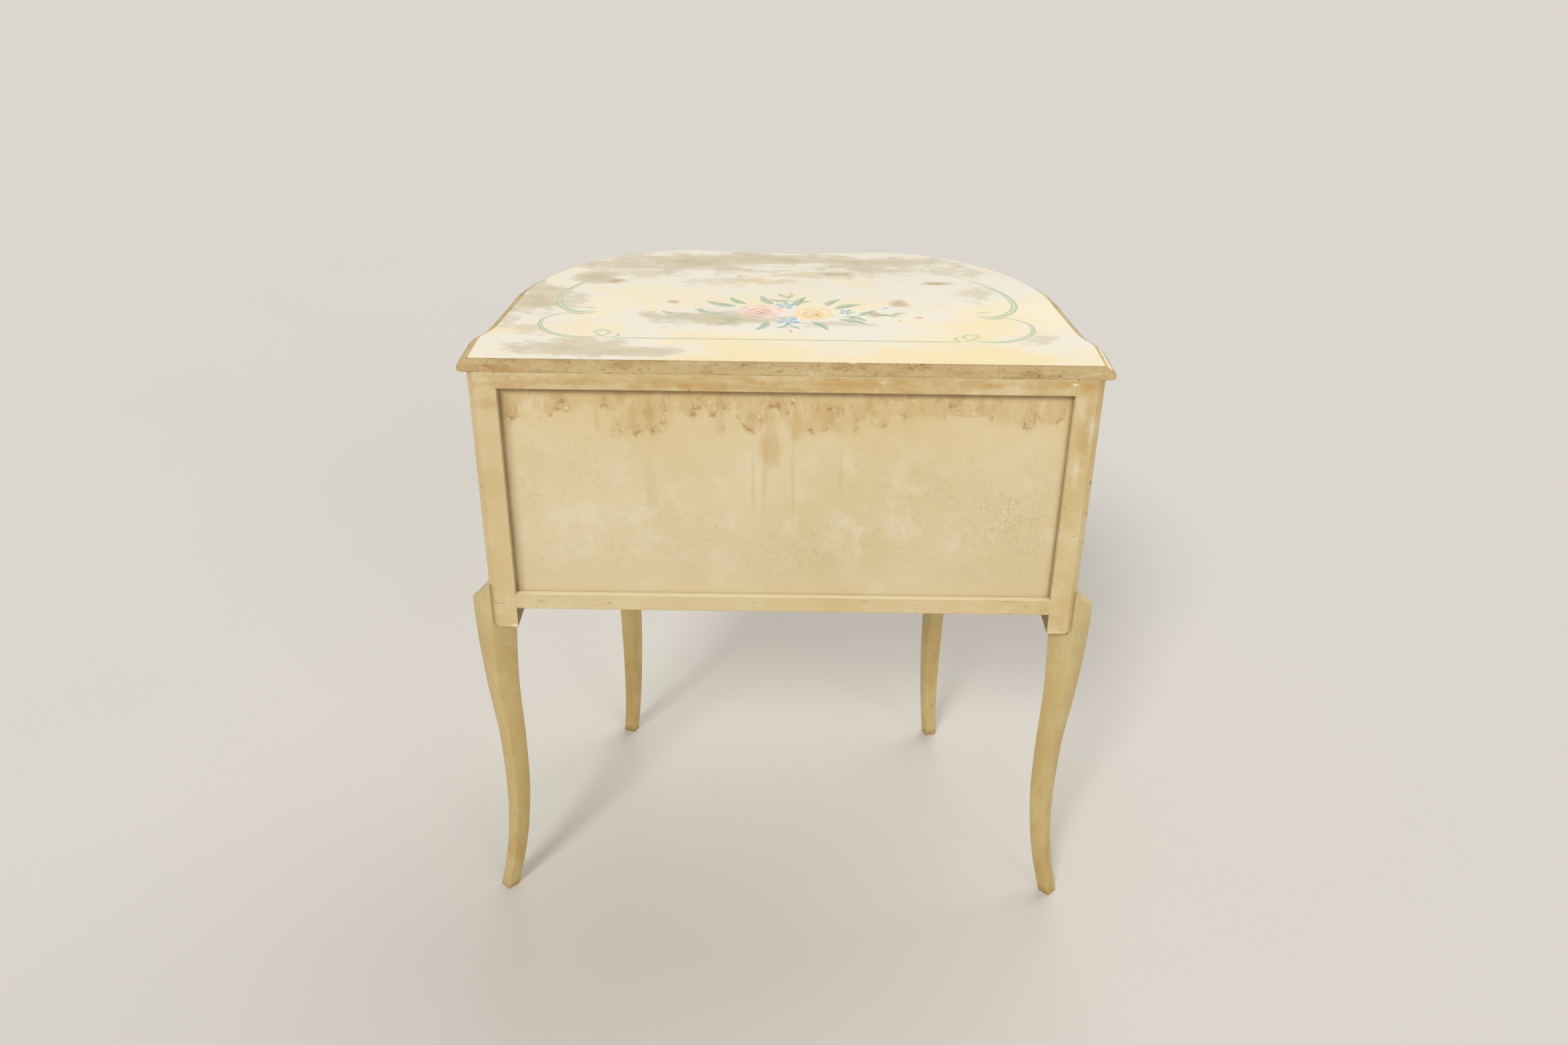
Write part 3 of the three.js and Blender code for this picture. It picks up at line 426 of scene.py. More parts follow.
# The top has been wiped for years: cream paint turned chalky, then worn back to an olive-grey ground in
# drawn-out patches
topLooks = {
    "cream": "#f6ebcd", "yellow": "#f6e3b4", "chalk": "#f0e9da",
    "ground": "#d2c5a9", "olive": "#c0ae80", "fleck": "#a08862", "brownSpot": "#b2936b",
    "patches": [(298, 22, 42, 56), (318, -24, 22, 36), (238, 178, 72, 31), (166, 186, 56, 17),
                (129, -137, 150, 38), (20, -152, 150, 30), (-100, -142, 110, 34), (78, 77, 84, 24),
                (236, -70, 30, 24), (-184, -62, 30, 8)],
    "chalky": [(0, -55, 210, 62), (-220, -60, 100, 80), (300, 115, 60, 70), (-60, 100, 90, 30),
               (-290, 140, 50, 40)],
    "greyPatches": [(322, 84, 20, 44), (250, 22, 22, 30), (-228, -24, 34, 40), (-286, 136, 24, 26),
                    (-217, -115, 60, 34), (-40, -92, 130, 22), (180, -90, 60, 30), (-60, 92, 60, 12),
                    (290, 120, 22, 26), (60, -60, 90, 20)],
    "brownSpots": [(209, -55, 14, 8), (134, 21, 9, 6), (-133, 18, 13, 13), (-100, 58, 10, 9),
                   (-61, -93, 22, 8), (-184, -60, 22, 5)],
    "edge": "#cdb383", "edgePale": "#dcca9e", "edgeDark": "#b0905a", "edgeShade": "#a4834f", "pit": "#6a4f28",
    "orange": "#b9823c", "chip": "#efe4c6",
    "chips": [(-348, 763, 5, 3), (348, 764, 3, 1.4), (-70, 764.5, 5, 1)],
    "flatMm": (764.3, 764.6), "lipMm": (762.8, 763.6),
}


# Where the paint has worn through; the strokes on it wear in the same places
def wornTop(node, coords):
    return tornSpots(node, coords, topLooks["patches"], 26, (0.66, 1, 1), -0.1, 0.34, 2.5)


def rubbedTop(node, coords, colour, height):
    looks = topLooks
    up = node("SeparateXYZ", {0: coords}, out="Z")
    start, full = metres(looks["flatMm"])
    flat = node("MapRange", {0: up, 1: start, 2: full}, **soft)
    wiped = node("VectorMath", {0: coords, 1: (0.5, 1, 1)}, **multiply)
    clouds = patches(node, wiped, (7, 3, 0.5), (0.4, 0.62))
    cream = node("Mix", {0: clouds, 6: linear(looks["cream"]), 7: linear(looks["yellow"])}, **inColour)
    worn, field = wornTop(node, coords)
    chalk = node("TexNoise", {"Vector": wiped, "Scale": 15, "Detail": 7, "Roughness": 0.66})
    beside = node("MapRange", {0: field, 1: -1.1, 2: -0.1, 4: 0.16}, **soft)
    chalky = insideSpots(node, coords, looks["chalky"])
    chalky = node("MapRange", {0: chalky, 1: -0.5, 2: 0.4, 4: 0.16}, **soft)
    chalk = node("Math", {0: chalk, 1: node("Math", {0: beside, 1: chalky}, **plus)}, **plus)
    cream = glaze(node, cream, looks["chalk"], chalk, (0.48, 0.7, 0, 0.9))
    grey, _ = tornSpots(node, coords, looks["greyPatches"], 11, (0.6, 1, 1), 0.05, 0.7, 3.4)
    cream = tint(node, cream, looks["ground"], grey, 0.62)
    ground = glaze(node, linear(looks["ground"]), looks["olive"], field, (0.3, 1.2, 0, 0.85))
    streak = patches(node, coords, (60, 6, 0.66), (0.46, 0.7, 0, 0.3), (0.4, 1, 1))
    ground = node("Mix", {0: streak, 6: ground, 7: linear(looks["chalk"])}, **inColour)
    bared = node("Math", {0: worn, 1: 0.86}, **multiply)
    cream = node("Mix", {0: bared, 6: cream, 7: ground}, **inColour)
    brown, _ = tornSpots(node, coords, looks["brownSpots"], 7, (0.5, 1, 1), -0.25, 0.7, 3.0)
    cream = tint(node, cream, looks["brownSpot"], brown, 0.6)
    specks = patches(node, coords, (300, 3, 0.7), (0.66, 0.76, 0, 0.35))
    cream = node("Mix", {0: specks, 6: cream, 7: linear(looks["fleck"])}, **inColour)

    # The moulded edge and the sawn rear edge keep their old dirt, with pores and dents drawn out along them
    along = node("VectorMath", {0: coords, 1: (0.3, 1, 1)}, **multiply)
    grain = node("TexNoise", {"Vector": along, "Scale": 70, "Detail": 6, "Roughness": 0.68})
    old = glaze(node, linear(looks["edge"]), looks["edgeDark"], grain, (0.46, 0.68, 0, 0.8))
    old = glaze(node, old, looks["edgePale"], grain, (0.46, 0.34, 0, 0.8))
    # Painted shade: faces of the moulding turned to the sides are darker
    sideways = node("NewGeometry", out="True Normal")
    sideways = node("SeparateXYZ", {0: sideways}, out="X")
    sideways = node("Math", {0: sideways}, operation="ABSOLUTE")
    old = glaze(node, old, looks["edgeShade"], sideways, (0.25, 0.75, 0, 0.6))
    stained = patches(node, along, (30, 5, 0.7), (0.58, 0.7, 0, 0.5))
    old = node("Mix", {0: stained, 6: old, 7: linear(looks["orange"])}, **inColour)
    pits = patches(node, coords, (420, 4, 0.62), (0.57, 0.68), (0.5, 1, 1))
    where = patches(node, coords, (34, 6, 0.75), (0.4, 0.62, 0.25, 1.0))
    pits = node("Math", {0: pits, 1: where}, **multiply)
    start, full = metres(looks["lipMm"])
    lip = node("MapRange", {0: up, 1: start, 2: full, 4: 0.22}, **soft)
    deeper = node("Math", {0: pits, 1: 0.72, 2: lip}, **multiplyAdd)
    deeper = node("Math", {0: deeper, 1: 0.8}, operation="MINIMUM")
    old = node("Mix", {0: deeper, 6: old, 7: linear(looks["pit"])}, **inColour)
    chips, _ = tornSpots(node, coords, looks["chips"], 4, (1, 1, 1), 0.0, 0.3, 1.2, (0, 2))
    old = node("Mix", {0: chips, 6: old, 7: linear(looks["chip"])}, **inColour)
    colour = node("Mix", {0: flat, 6: old, 7: cream}, **inColour)
    side = node("MapRange", {0: flat, 3: -1.1, 4: 0.0})
    height = node("Math", {0: pits, 1: side, 2: height}, **multiplyAdd)
    height = node("Math", {0: worn, 1: -0.2, 2: height}, **multiplyAdd)
    return colour, height


# Wood

woodLooks = {
    "drawer": {"light": "#dcc395", "dark": "#c8aa78", "line": "#9c7c50", "ringMm": 11, "roughness": 0.5},
    "bare": {"light": "#c9ac7e", "dark": "#ad8c5c", "line": "#725531", "ringMm": 14, "roughness": 0.7},
}


# Planed solid wood: growth rings and open pores drawn out along the grain, a dull waxed or raw surface
def grainedWood(name, looks, along):
    material, node, coords = startMaterial(name)
    drawn, fine = [1.0] * 3, [1.0] * 3
    drawn[along], fine[along] = 0.07, 0.02
    bend = node("TexNoise", {"Vector": coords, "Scale": 6, "Detail": 3}, out="Color")
    bent = node("VectorMath", {0: bend, 1: [0.03] * 3, 2: coords}, **multiplyAdd)
    bent = node("VectorMath", {0: bent, 1: drawn}, **multiply)
    rings = node("TexNoise", {"Vector": bent, "Scale": 1000 / looks["ringMm"], "Detail": 4, "Roughness": 0.6})
    thin = node("VectorMath", {0: coords, 1: fine}, **multiply)
    pores = node("TexNoise", {"Vector": thin, "Scale": 620, "Detail": 2, "Roughness": 0.7})
    old = node("TexNoise", {"Vector": coords, "Scale": 11, "Detail": 4})
    colour = glaze(node, linear(looks["light"]), looks["dark"], rings, (0.38, 0.62))
    colour = glaze(node, colour, looks["line"], old, (0.46, 0.7, 0, 0.3))
    colour = glaze(node, colour, looks["line"], pores, (0.58, 0.72, 0, 0.4))
    # Painted shade: darker in the corners and hollows
    hollow = node("AmbientOcclusion", {"Distance": 0.02}, out="AO", samples=4)
    colour = glaze(node, colour, looks["line"], hollow, (0.9, 0.3, 0, 0.4))
    eased = node("Bevel", {"Radius": 0.0007}, samples=4)
    gloss = (0.3, 0.7, looks["roughness"], looks["roughness"] + 0.14)
    node("OutputMaterial", {"Surface": surface(node, colour, pores, 0.35, 0.4, rings, gloss, eased=eased)})
    return material


# Brass

brassLooks = {"bright": "#bfa268", "brown": "#6b5433", "green": "#62694a", "roughness": 0.3}


# Cast brass, lacquer long gone: bright where fingers rub it, brown in the hollows, slightly uneven
def agedBrass(name, looks):
    material, node, coords = startMaterial(name)
    cloud = node("TexNoise", {"Vector": coords, "Scale": 110, "Detail": 4, "Roughness": 0.6})
    colour = glaze(node, linear(looks["bright"]), looks["brown"], cloud, (0.4, 0.72, 0, 0.7))
    hollow = node("AmbientOcclusion", {"Distance": 0.006}, out="AO", samples=6)
    colour = glaze(node, colour, looks["brown"], hollow, (0.85, 0.35, 0, 0.85))
    spots = patches(node, coords, (330, 3, 0.7), (0.66, 0.76, 0, 0.4))
    colour = node("Mix", {0: spots, 6: colour, 7: linear(looks["green"])}, **inColour)
    fine = node("TexNoise", {"Vector": coords, "Scale": 800, "Detail": 3})
    eased = node("Bevel", {"Radius": 0.0005}, samples=4)
    gloss = (0.35, 0.7, looks["roughness"], 0.5)
    metal = surface(node, colour, fine, 0.2, 0.3, cloud, gloss, eased=eased, Metallic=1.0)
    node("OutputMaterial", {"Surface": metal})
    return material


paintedBack = agedPaint("crackled cream oil paint, back panel", vary(
    base="#e2d1ab", warm="#dcc89c", pale="#e8ddc4", cracks=0, grimeAmount=0.15), waterStains)
paintedPost = agedPaint("cream oil paint, posts", vary(cracks=0, wear=0.35, grimeAmount=0.2), agedFrame)
paintedRail = agedPaint("cream oil paint, rails", vary(cracks=0, wear=0.3, grimeAmount=0.2), agedFrame)
paintedFront = agedPaint("cream oil paint, sides and drawers", vary(
    base="#e3d3aa", warm="#dcc694", pale="#ece1c4", cracks=0.3, cracksFrom=0.56, wear=0.5))
paintedLeg = agedPaint("cream oil paint rubbed along the arrises, legs", vary(
    base="#cfb679", warm="#c2a565", pale="#dbcb99", easedMm=1.5, wear=0.5, wearFrom=0.5, grimeAmount=0.42,
    grimeMm=18, cracks=0.15, cracksFrom=0.6), agedLeg)
paintedTop = agedPaint("rubbed cream oil paint, top", vary(
    cracks=0.1, cracksFrom=0.6, easedMm=1.2, wear=0.35, grimeAmount=0.2, roughness=0.52), rubbedTop)
drawerWood = [grainedWood(f"waxed poplar, grain along {axis}", woodLooks["drawer"], i)
              for i, axis in enumerate("xyz")]
bareWood = [grainedWood(f"sawn poplar, grain along {axis}", woodLooks["bare"], i)
            for i, axis in enumerate("xyz")]
brass = agedBrass("rubbed cast brass", brassLooks)
print("materials made")


# Solids: each is copied, its flat facets are joined, its outward edges are eased and its curves are smoothed

# Joints that the paint has closed: the frame runs up into the top, and the rear legs' notches meet the posts
jointLooks = {"touchMm": 0.5, "grazeMm": 0.1, "cantMm": 8, "intoPostMm": 0.4, "intoTopMm": 0.6,
              "tenonMm": 1.4, "proudMm": 0.03}
touch, graze = jointLooks["touchMm"] * mm, jointLooks["grazeMm"] * mm


def closeJoints(name, shape):
    left = name.endswith("left")
    closed = set()
    low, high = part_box("rear_post_left" if left else "rear_post_right")
    out = -1 if left else 1
    side = low.x if left else high.x
    if name.startswith("rear_leg"):
        away = Vector((out, 1, 0)).normalized()
        cut = Vector((side - out * jointLooks["cantMm"] * mm, high.y, 0))
        into = jointLooks["intoPostMm"] * mm
        for vert in shape.verts:
            if vert.co.z < low.z - touch:
                continue
            fromCant = (vert.co - cut).dot(away)
            beside = abs(vert.co.x - side) < touch
            if abs(fromCant) < touch:
                vert.co -= away * (fromCant + graze)
                closed.add(vert)
            elif beside or vert.co.z < low.z + touch:
                vert.co.x -= out * into * beside
                closed.add(vert)
            if vert.co.z < low.z + touch and vert in closed:
                vert.co.z += into
    rail = name in ("back_top_rail", "back_bottom_rail")
    if rail or name.startswith("rear_post"):
        for vert in shape.verts:
            if vert.co.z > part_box("top_board")[0].z - touch:
                vert.co.z += jointLooks["intoTopMm"] * mm
                closed.add(vert)
    if rail:
        reach = max(vert.co.x for vert in shape.verts)
        for vert in shape.verts:
            if abs(vert.co.x) > reach - graze:
                vert.co.x += math.copysign(jointLooks["tenonMm"] * mm, vert.co.x)
                closed.add(vert)
            if vert.co.y > cadBox[1][1] - graze:
                vert.co.y -= jointLooks["proudMm"] * mm
    return closed


# A bail's ends are worn thin where they turn in the eyes, so they clear the rims of the bores
wornEnds = {"reachMm": 6.3, "nearMm": 3, "share": 0.86}


def wearEnds(name, shape):
    _, pinY, pinZ = next(joint["pos_m"] for joint in frame["joints"] if joint["name"] == name + "_swing")
    for post in ("_pull_post_inner", "_pull_post_outer"):
        low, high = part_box(name.replace("_bail", post))
        middle = (low.x + high.x) / 2
        for vert in shape.verts:
            off = Vector((0, vert.co.y - pinY, vert.co.z - pinZ))
            if abs(vert.co.x - middle) < wornEnds["reachMm"] * mm and off.length < wornEnds["nearMm"] * mm:
                vert.co -= off * (1 - wornEnds["share"])


# The side of a piece that faces bareSide is left in the bare wood
dressLooks = {"mergeMm": 0.01, "flatDegrees": 0.6, "creaseDegrees": 32, "segments": 2, "topSinkMm": 0.3,
              "facing": 0.45}


def dress(name, material, easeMm, bare=None, bareSide=None):
    source = nodes[name]
    mesh = source.data.copy()
    piece = bpy.data.objects.new(name + "_finished", mesh)
    bpy.context.scene.collection.objects.link(piece)
    shape = bmesh.new()
    shape.from_mesh(mesh)
    bmesh.ops.remove_doubles(shape, verts=shape.verts, dist=dressLooks["mergeMm"] * mm)
    flat = math.radians(dressLooks["flatDegrees"])
    bmesh.ops.dissolve_limit(shape, angle_limit=flat, verts=shape.verts, edges=shape.edges)
    if name == "top_board":  # leaves room for the thickness of the painting
        for vert in shape.verts:
            if vert.co.z > cadBox[1][2] - graze:
                vert.co.z -= dressLooks["topSinkMm"] * mm
    closed = closeJoints(name, shape)
    if name.endswith("_bail"):
        wearEnds(name, shape)
    shape.normal_update()
    crease = math.radians(dressLooks["creaseDegrees"])
    eased = shape.edges.layers.float.new("bevel_weight_edge")
    for edge in shape.edges:
        turned = len(edge.link_faces) == 2 and edge.calc_face_angle(0) > crease
        edge[eased] = float(turned and edge.is_convex and not all(vert in closed for vert in edge.verts))
    for face in shape.faces:
        face.smooth = True
        if bare is not None:
            face.material_index = int(face.normal.dot(Vector(bareSide)) > dressLooks["facing"])
    shape.to_mesh(mesh)
    shape.free()
    mesh.materials.clear()
    mesh.materials.append(material)
    if bare is not None:
        mesh.materials.append(bare)
    mesh.set_sharp_from_angle(angle=crease)
    ease = piece.modifiers.new("eased edges", "BEVEL")
    ease.width = easeMm * mm
    ease.segments = dressLooks["segments"]
    ease.limit_method = "WEIGHT"
    ease.harden_normals = True
    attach(piece, source["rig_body"])
    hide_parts(name)
    return piece


# By a part of a piece's name: its finish, its eased edge in mm, and the bare wood with the side left in it
finishes = {
    "top_board": (paintedTop, 0.8, bareWood[0], (0, 0, -1)),
    "back_panel": (paintedBack, 0.4, bareWood[0], (0, -1, 0)),
    "rear_post": (paintedPost, 0.45, bareWood[2], (0, -1, 0)),
    "back_top_rail": (paintedRail, 0.6, bareWood[0], (0, -1, 0)),
    "back_bottom_rail": (paintedRail, 0.6, bareWood[0], (0, -1, 0)),
    "side_panel_left": (paintedFront, 0.8, bareWood[1], (1, 0, 0)),
    "side_panel_right": (paintedFront, 0.8, bareWood[1], (-1, 0, 0)),
    "front_post": (paintedFront, 0.8, bareWood[2], (0, 1, 0)),
    "front_top_rail": (paintedFront, 0.8, bareWood[0], (0, 1, 0)),
    "front_apron": (paintedFront, 0.8, bareWood[0], (0, 1, 0)),
    "drawer_divider": (paintedFront, 0.8, bareWood[0], (0, 1, 0)),
    "drawer_front": (paintedFront, 1.0, drawerWood[0], (0, 1, 0)),
    "_leg_": (paintedLeg, 0.6),
    "pull_post": (brass, 0.3),
    "_bail": (brass, 0.3),
}
unpaintedEaseMm = 0.4

for name in sorted(nodes):
    finish = next((finishes[part] for part in finishes if part in name), None)
    if finish is None:  # bare wood, its grain along the longest side
        inDrawer = any(part in name for part in ("drawer_side", "drawer_back", "drawer_bottom"))
        low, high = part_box(name)
        along = max(range(3), key=lambda axis: (high - low)[axis])
        finish = ((drawerWood if inDrawer else bareWood)[along], unpaintedEaseMm)
    dress(name, *finish)
print("solids dressed")


# Painting: strokes are thin ribbons of paint with soft sides, laid on the carrier and coloured point by point

strokeLooks = {"stepMm": 2.2, "liftMm": -0.24, "layerMm": 0.03, "frontLiftMm": 0.08,
               "twigMm": 1.5, "hairLight": "#f4ecd8", "rayStart": 1.0}


# A smooth curve through the points
def smoothPath(points, step):
    ends = [points[0]] + list(points) + [points[-1]]
    path = []
    for i in range(1, len(ends) - 2):
        p0, p1, p2, p3 = (Vector(p) for p in ends[i - 1:i + 3])
        count = max(1, round((p2 - p1).length / step))
        for k in range(count):
            t = k / count
            path.append(0.5 * (2 * p1 + (p2 - p0) * t + (2 * p0 - 5 * p1 + 4 * p2 - p3) * t * t
                               + (3 * p1 - p0 - 3 * p2 + p3) * t ** 3))
    path.append(Vector(points[-1]))
    return path


# The way across a path at one of its points
def acrossAt(path, i):
    ahead = path[min(i + 1, len(path) - 1)] - path[max(i - 1, 0)]
    return Vector((-ahead.y, ahead.x)).normalized()


# How full a stroke is at a share of its length
def fullness(share, ends):
    return min(1, max(share, 0.02) / ends[0], max(1 - share, 0.02) / ends[1]) ** 0.65


# The way that an angle points, and the way to its left
def heading(degrees):
    a = math.radians(degrees)
    return Vector((math.cos(a), math.sin(a))), Vector((-math.sin(a), math.cos(a)))


def startSheet():
    return {"points": [], "faces": [], "pigment": [], "brush": []}


# Left and right are the colours of the stroke's two sides; ends are the shares of its length that taper
def addStroke(sheet, points, width, left, right, strength=0.95, layer=0, ends=(0.3, 0.3), step=None):
    path = smoothPath(points, step or strokeLooks["stepMm"])
    lengths = [0.0]
    for a, b in zip(path, path[1:]):
        lengths.append(lengths[-1] + (b - a).length)
    total = lengths[-1] or 1.0
    first, second = Vector(linear(left)), Vector(linear(right))
    rows = (-1.0, -0.55, 0.0, 0.55, 1.0)
    for i, here in enumerate(path):
        across = acrossAt(path, i)
        swell = fullness(lengths[i] / total, ends)
        for v in rows:
            place = here + across * (v * swell * width / 2)
            tone = first.lerp(second, (v + 1) / 2)
            sheet["points"].append((place.x, place.y, layer))
            sheet["pigment"].append((tone[0], tone[1], tone[2], strength))
            sheet["brush"].append((lengths[i], v, width))
        if i:
            base = len(sheet["points"]) - 2 * len(rows)
            for k in range(base, base + len(rows) - 1):
                sheet["faces"].append((k, k + 1, k + len(rows) + 1, k + len(rows)))


def addArc(sheet, middle, radius, fromDegrees, toDegrees, width, inner, outer, **more):
    turns = [math.radians(fromDegrees + (toDegrees - fromDegrees) * k / 6) for k in range(7)]
    points = [(middle[0] + radius * math.cos(a), middle[1] + radius * math.sin(a)) for a in turns]
    left, right = (outer, inner) if toDegrees > fromDegrees else (inner, outer)
    addStroke(sheet, points, width, left=left, right=right, step=max(0.8, radius * 0.12), **more)


# A blown rose from comma strokes: a soft ground, loose petals with light rims, and a heart off to one side
def addRose(sheet, middle, radius, turn, looks):
    for i in range(3):
        a = turn + i * 120
        addArc(sheet, middle, radius * 0.4, a - 75, a + 75, radius * 0.98, looks["mid"], looks["rim"],
               layer=1, ends=(0.5, 0.5), strength=0.8)
    for i in range(6):
        a = turn + i * 60 + i * 41 % 19
        addArc(sheet, middle, radius * (0.74 + 0.08 * (i % 2)), a - 30, a + 34, radius * 0.4, looks["mid"],
               looks["rim"], layer=2 + i % 2, ends=(0.5, 0.35), strength=0.85)
    away = math.radians(turn + 30)
    heart = (middle[0] + radius * 0.16 * math.cos(away), middle[1] + radius * 0.16 * math.sin(away))
    for i in range(4):
        a = turn + 20 + i * 93
        addArc(sheet, heart, radius * 0.42, a - 46, a + 36, radius * 0.3, looks["deep"], looks["mid"],
               layer=4, ends=(0.55, 0.3), strength=0.8)
    addArc(sheet, heart, radius * 0.2, turn, turn + 210, radius * 0.2, looks["heart"], looks["deep"],
           layer=5, ends=(0.5, 0.3))
    addArc(sheet, heart, radius * 0.09, turn + 160, turn + 330, radius * 0.15, looks["dark"],
           looks["heart"], layer=6, ends=(0.5, 0.4), strength=0.8)
    for a, r, span in ((turn + 10, 0.88, 54), (turn + 128, 0.8, 40), (turn + 215, 0.9, 60),
                       (turn + 290, 0.6, 44)):
        addArc(sheet, middle, radius * r, a - span / 2, a + span / 2, radius * 0.12, looks["rim"],
               looks["rim"], layer=6, strength=0.85, ends=(0.5, 0.5))


def addBlossom(sheet, middle, radius, turn, looks, petals=5):
    for i in range(petals):
        along, side = heading(turn + i * 360 / petals)
        points = [Vector(middle) + along * radius * s + side * radius * b
                  for s, b in ((0.08, 0), (0.55, 0.04), (1, -0.03))]
        addStroke(sheet, points, radius * 0.74, looks["deep"], looks["rim"], layer=4 + i % 2,
                  ends=(0.6, 0.35), step=radius * 0.12)
    for i in range(3):
        spot = Vector(middle) + heading(turn + 40 + i * 120)[0] * radius * 0.12
        addStroke(sheet, [spot, spot + Vector((radius * 0.14, radius * 0.05))], radius * 0.16, looks["heart"],
                  looks["heart"], layer=6, ends=(0.5, 0.5), step=radius * 0.05)


def addLeaf(sheet, base, degrees, length, width, looks, bend=0.15):
    along, side = heading(degrees)
    points = [Vector(base) + along * length * s + side * length * b
              for s, b in ((0, 0), (0.5, bend), (1, bend * 0.3))]
    addStroke(sheet, points, width, looks["leafDark"], looks["leafLight"], 0.88, layer=1, ends=(0.35, 0.6))
    addStroke(sheet, points, width * 0.1, looks["vein"], looks["vein"], 0.6, layer=2, ends=(0.3, 0.6))


# Side -1 mirrors the twig about the middle
def addTwig(sheet, points, looks, leaves=(), buds=(), side=1):
    path = [(x * side, y) for x, y in points]
    addStroke(sheet, path, strokeLooks["twigMm"], looks["stem"], looks["stem"], layer=0, ends=(0.1, 0.4),
              strength=0.8)
    for x, y, degrees, length, width in leaves:
        addLeaf(sheet, (x * side, y), 90 + side * (degrees - 90), length, width, looks)
    for x, y, degrees, size, tone in buds:
        base = Vector((x * side, y))
        tip = base + heading(90 + side * (degrees - 90))[0] * size
        addStroke(sheet, [base, tip], size * 0.62, *looks[tone], layer=3, ends=(0.5, 0.4), step=1)


# Thinned oil colour, laid on with a round brush: streaked along the stroke, thin at its sides, and on the top
# worn with the paint under it
def strokePaint(name, wears=None):
    material, node, coords = startMaterial(name)
    pigment = node("Attribute", out="Color", attribute_name="pigment")
    strength = node("Attribute", out="Alpha", attribute_name="pigment")
    brush = node("Attribute", out="Vector", attribute_name="brush")
    side = node("Math", {0: node("SeparateXYZ", {0: brush}, out="Y")}, operation="ABSOLUTE")
    feather = node("MapRange", {0: side, 1: 1.0, 2: 0.62}, **soft)
    drawn = node("VectorMath", {0: brush, 1: (0.12, 2.6, 0.9)}, **multiply)
    hairs = node("TexNoise", {"Vector": drawn, "Scale": 1.0, "Detail": 4, "Roughness": 0.6})
    thin = node("MapRange", {0: hairs, 1: 0.34, 2: 0.56, 3: 0.74, 4: 1.0}, **soft)
    rub = patches(node, coords, (130, 5, 0.7), (0.32, 0.48, 0.55, 1.0))
    strength = together(node, strength, feather, thin, rub)
    if wears:
        worn, _ = wears(node, coords)
        kept = node("MapRange", {0: worn, 3: 1.0, 4: 0.35})
        strength = node("Math", {0: strength, 1: kept}, **multiply)
    colour = glaze(node, pigment, strokeLooks["hairLight"], hairs, (0.5, 0.72, 0, 0.35))
    paint = surface(node, colour, hairs, 0.3, 0.3, hairs, (0.3, 0.7, 0.5, 0.64))
    mixed = node("MixShader", {0: strength, 1: node("BsdfTransparent"), 2: paint})
    node("OutputMaterial", {"Surface": mixed})
    return material


# Cast maps a point of the sheet in mm to a ray that meets the carrier
def layPaint(name, sheet, carrier, cast, lift, material):
    source = nodes[carrier]
    tree = BVHTree.FromPolygons([v.co for v in source.data.vertices],
                                [list(p.vertices) for p in source.data.polygons])
    places = []
    for a, b, layer in sheet["points"]:
        start, way = cast(a, b)
        hit, normal, _, _ = tree.ray_cast(Vector(start), Vector(way))
        if hit is None:
            raise ValueError(f"{name}: no {carrier} under {a:.1f}, {b:.1f}")
        places.append(hit - Vector(way) * (lift + layer * strokeLooks["layerMm"]) * mm)
    mesh = bpy.data.meshes.new(name)
    mesh.from_pydata(places, [], sheet["faces"])
    tones = mesh.color_attributes.new("pigment", "FLOAT_COLOR", "POINT")
    tones.data.foreach_set("color", [c for tone in sheet["pigment"] for c in tone])
    marks = mesh.attributes.new("brush", "FLOAT_VECTOR", "POINT")
    marks.data.foreach_set("vector", [c for mark in sheet["brush"] for c in mark])
    mesh.materials.append(material)
    mesh.shade_smooth()
    piece = bpy.data.objects.new(name, mesh)
    piece.visible_shadow = False  # so thin a film throws no shade
    piece.visible_diffuse = False
    bpy.context.scene.collection.objects.link(piece)
    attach(piece, source["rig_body"])
    return piece


# The rays start well outside the chest
def onTop(a, b):
    return (a * mm, b * mm, strokeLooks["rayStart"]), (0, 0, -1)


def onFront(a, b):
    return (a * mm, -strokeLooks["rayStart"], b * mm), (0, 1, 0)


# Green line with scrolls round the top, mirrored about the middle; each scroll is a pale ribbon, edged darker
borderLooks = {"light": "#c8d2ae", "dark": "#aebd98", "pale": "#dde3c9", "shade": "#9db08e"}


def addRibbon(sheet, points, width, side, looks, layer=1, ends=(0.25, 0.55), step=None):
    path = smoothPath(points, 4)
    addStroke(sheet, points, width, looks["light"], looks["light"], layer=layer, ends=ends, strength=1.0,
              step=step)
    for share, tone, thickness in ((0.26, "shade", 0.26), (-0.26, "dark", 0.2), (-0.02, "pale", 0.2)):
        edge = []
        for i, here in enumerate(path):
            swell = fullness(i / (len(path) - 1), ends)
            edge.append(here + acrossAt(path, i) * (side * share * width * swell))
        addStroke(sheet, edge, max(1.2, width * thickness), looks[tone], looks[tone], layer=layer + 1,
                  ends=(0.2, 0.3), strength=0.6, step=step)


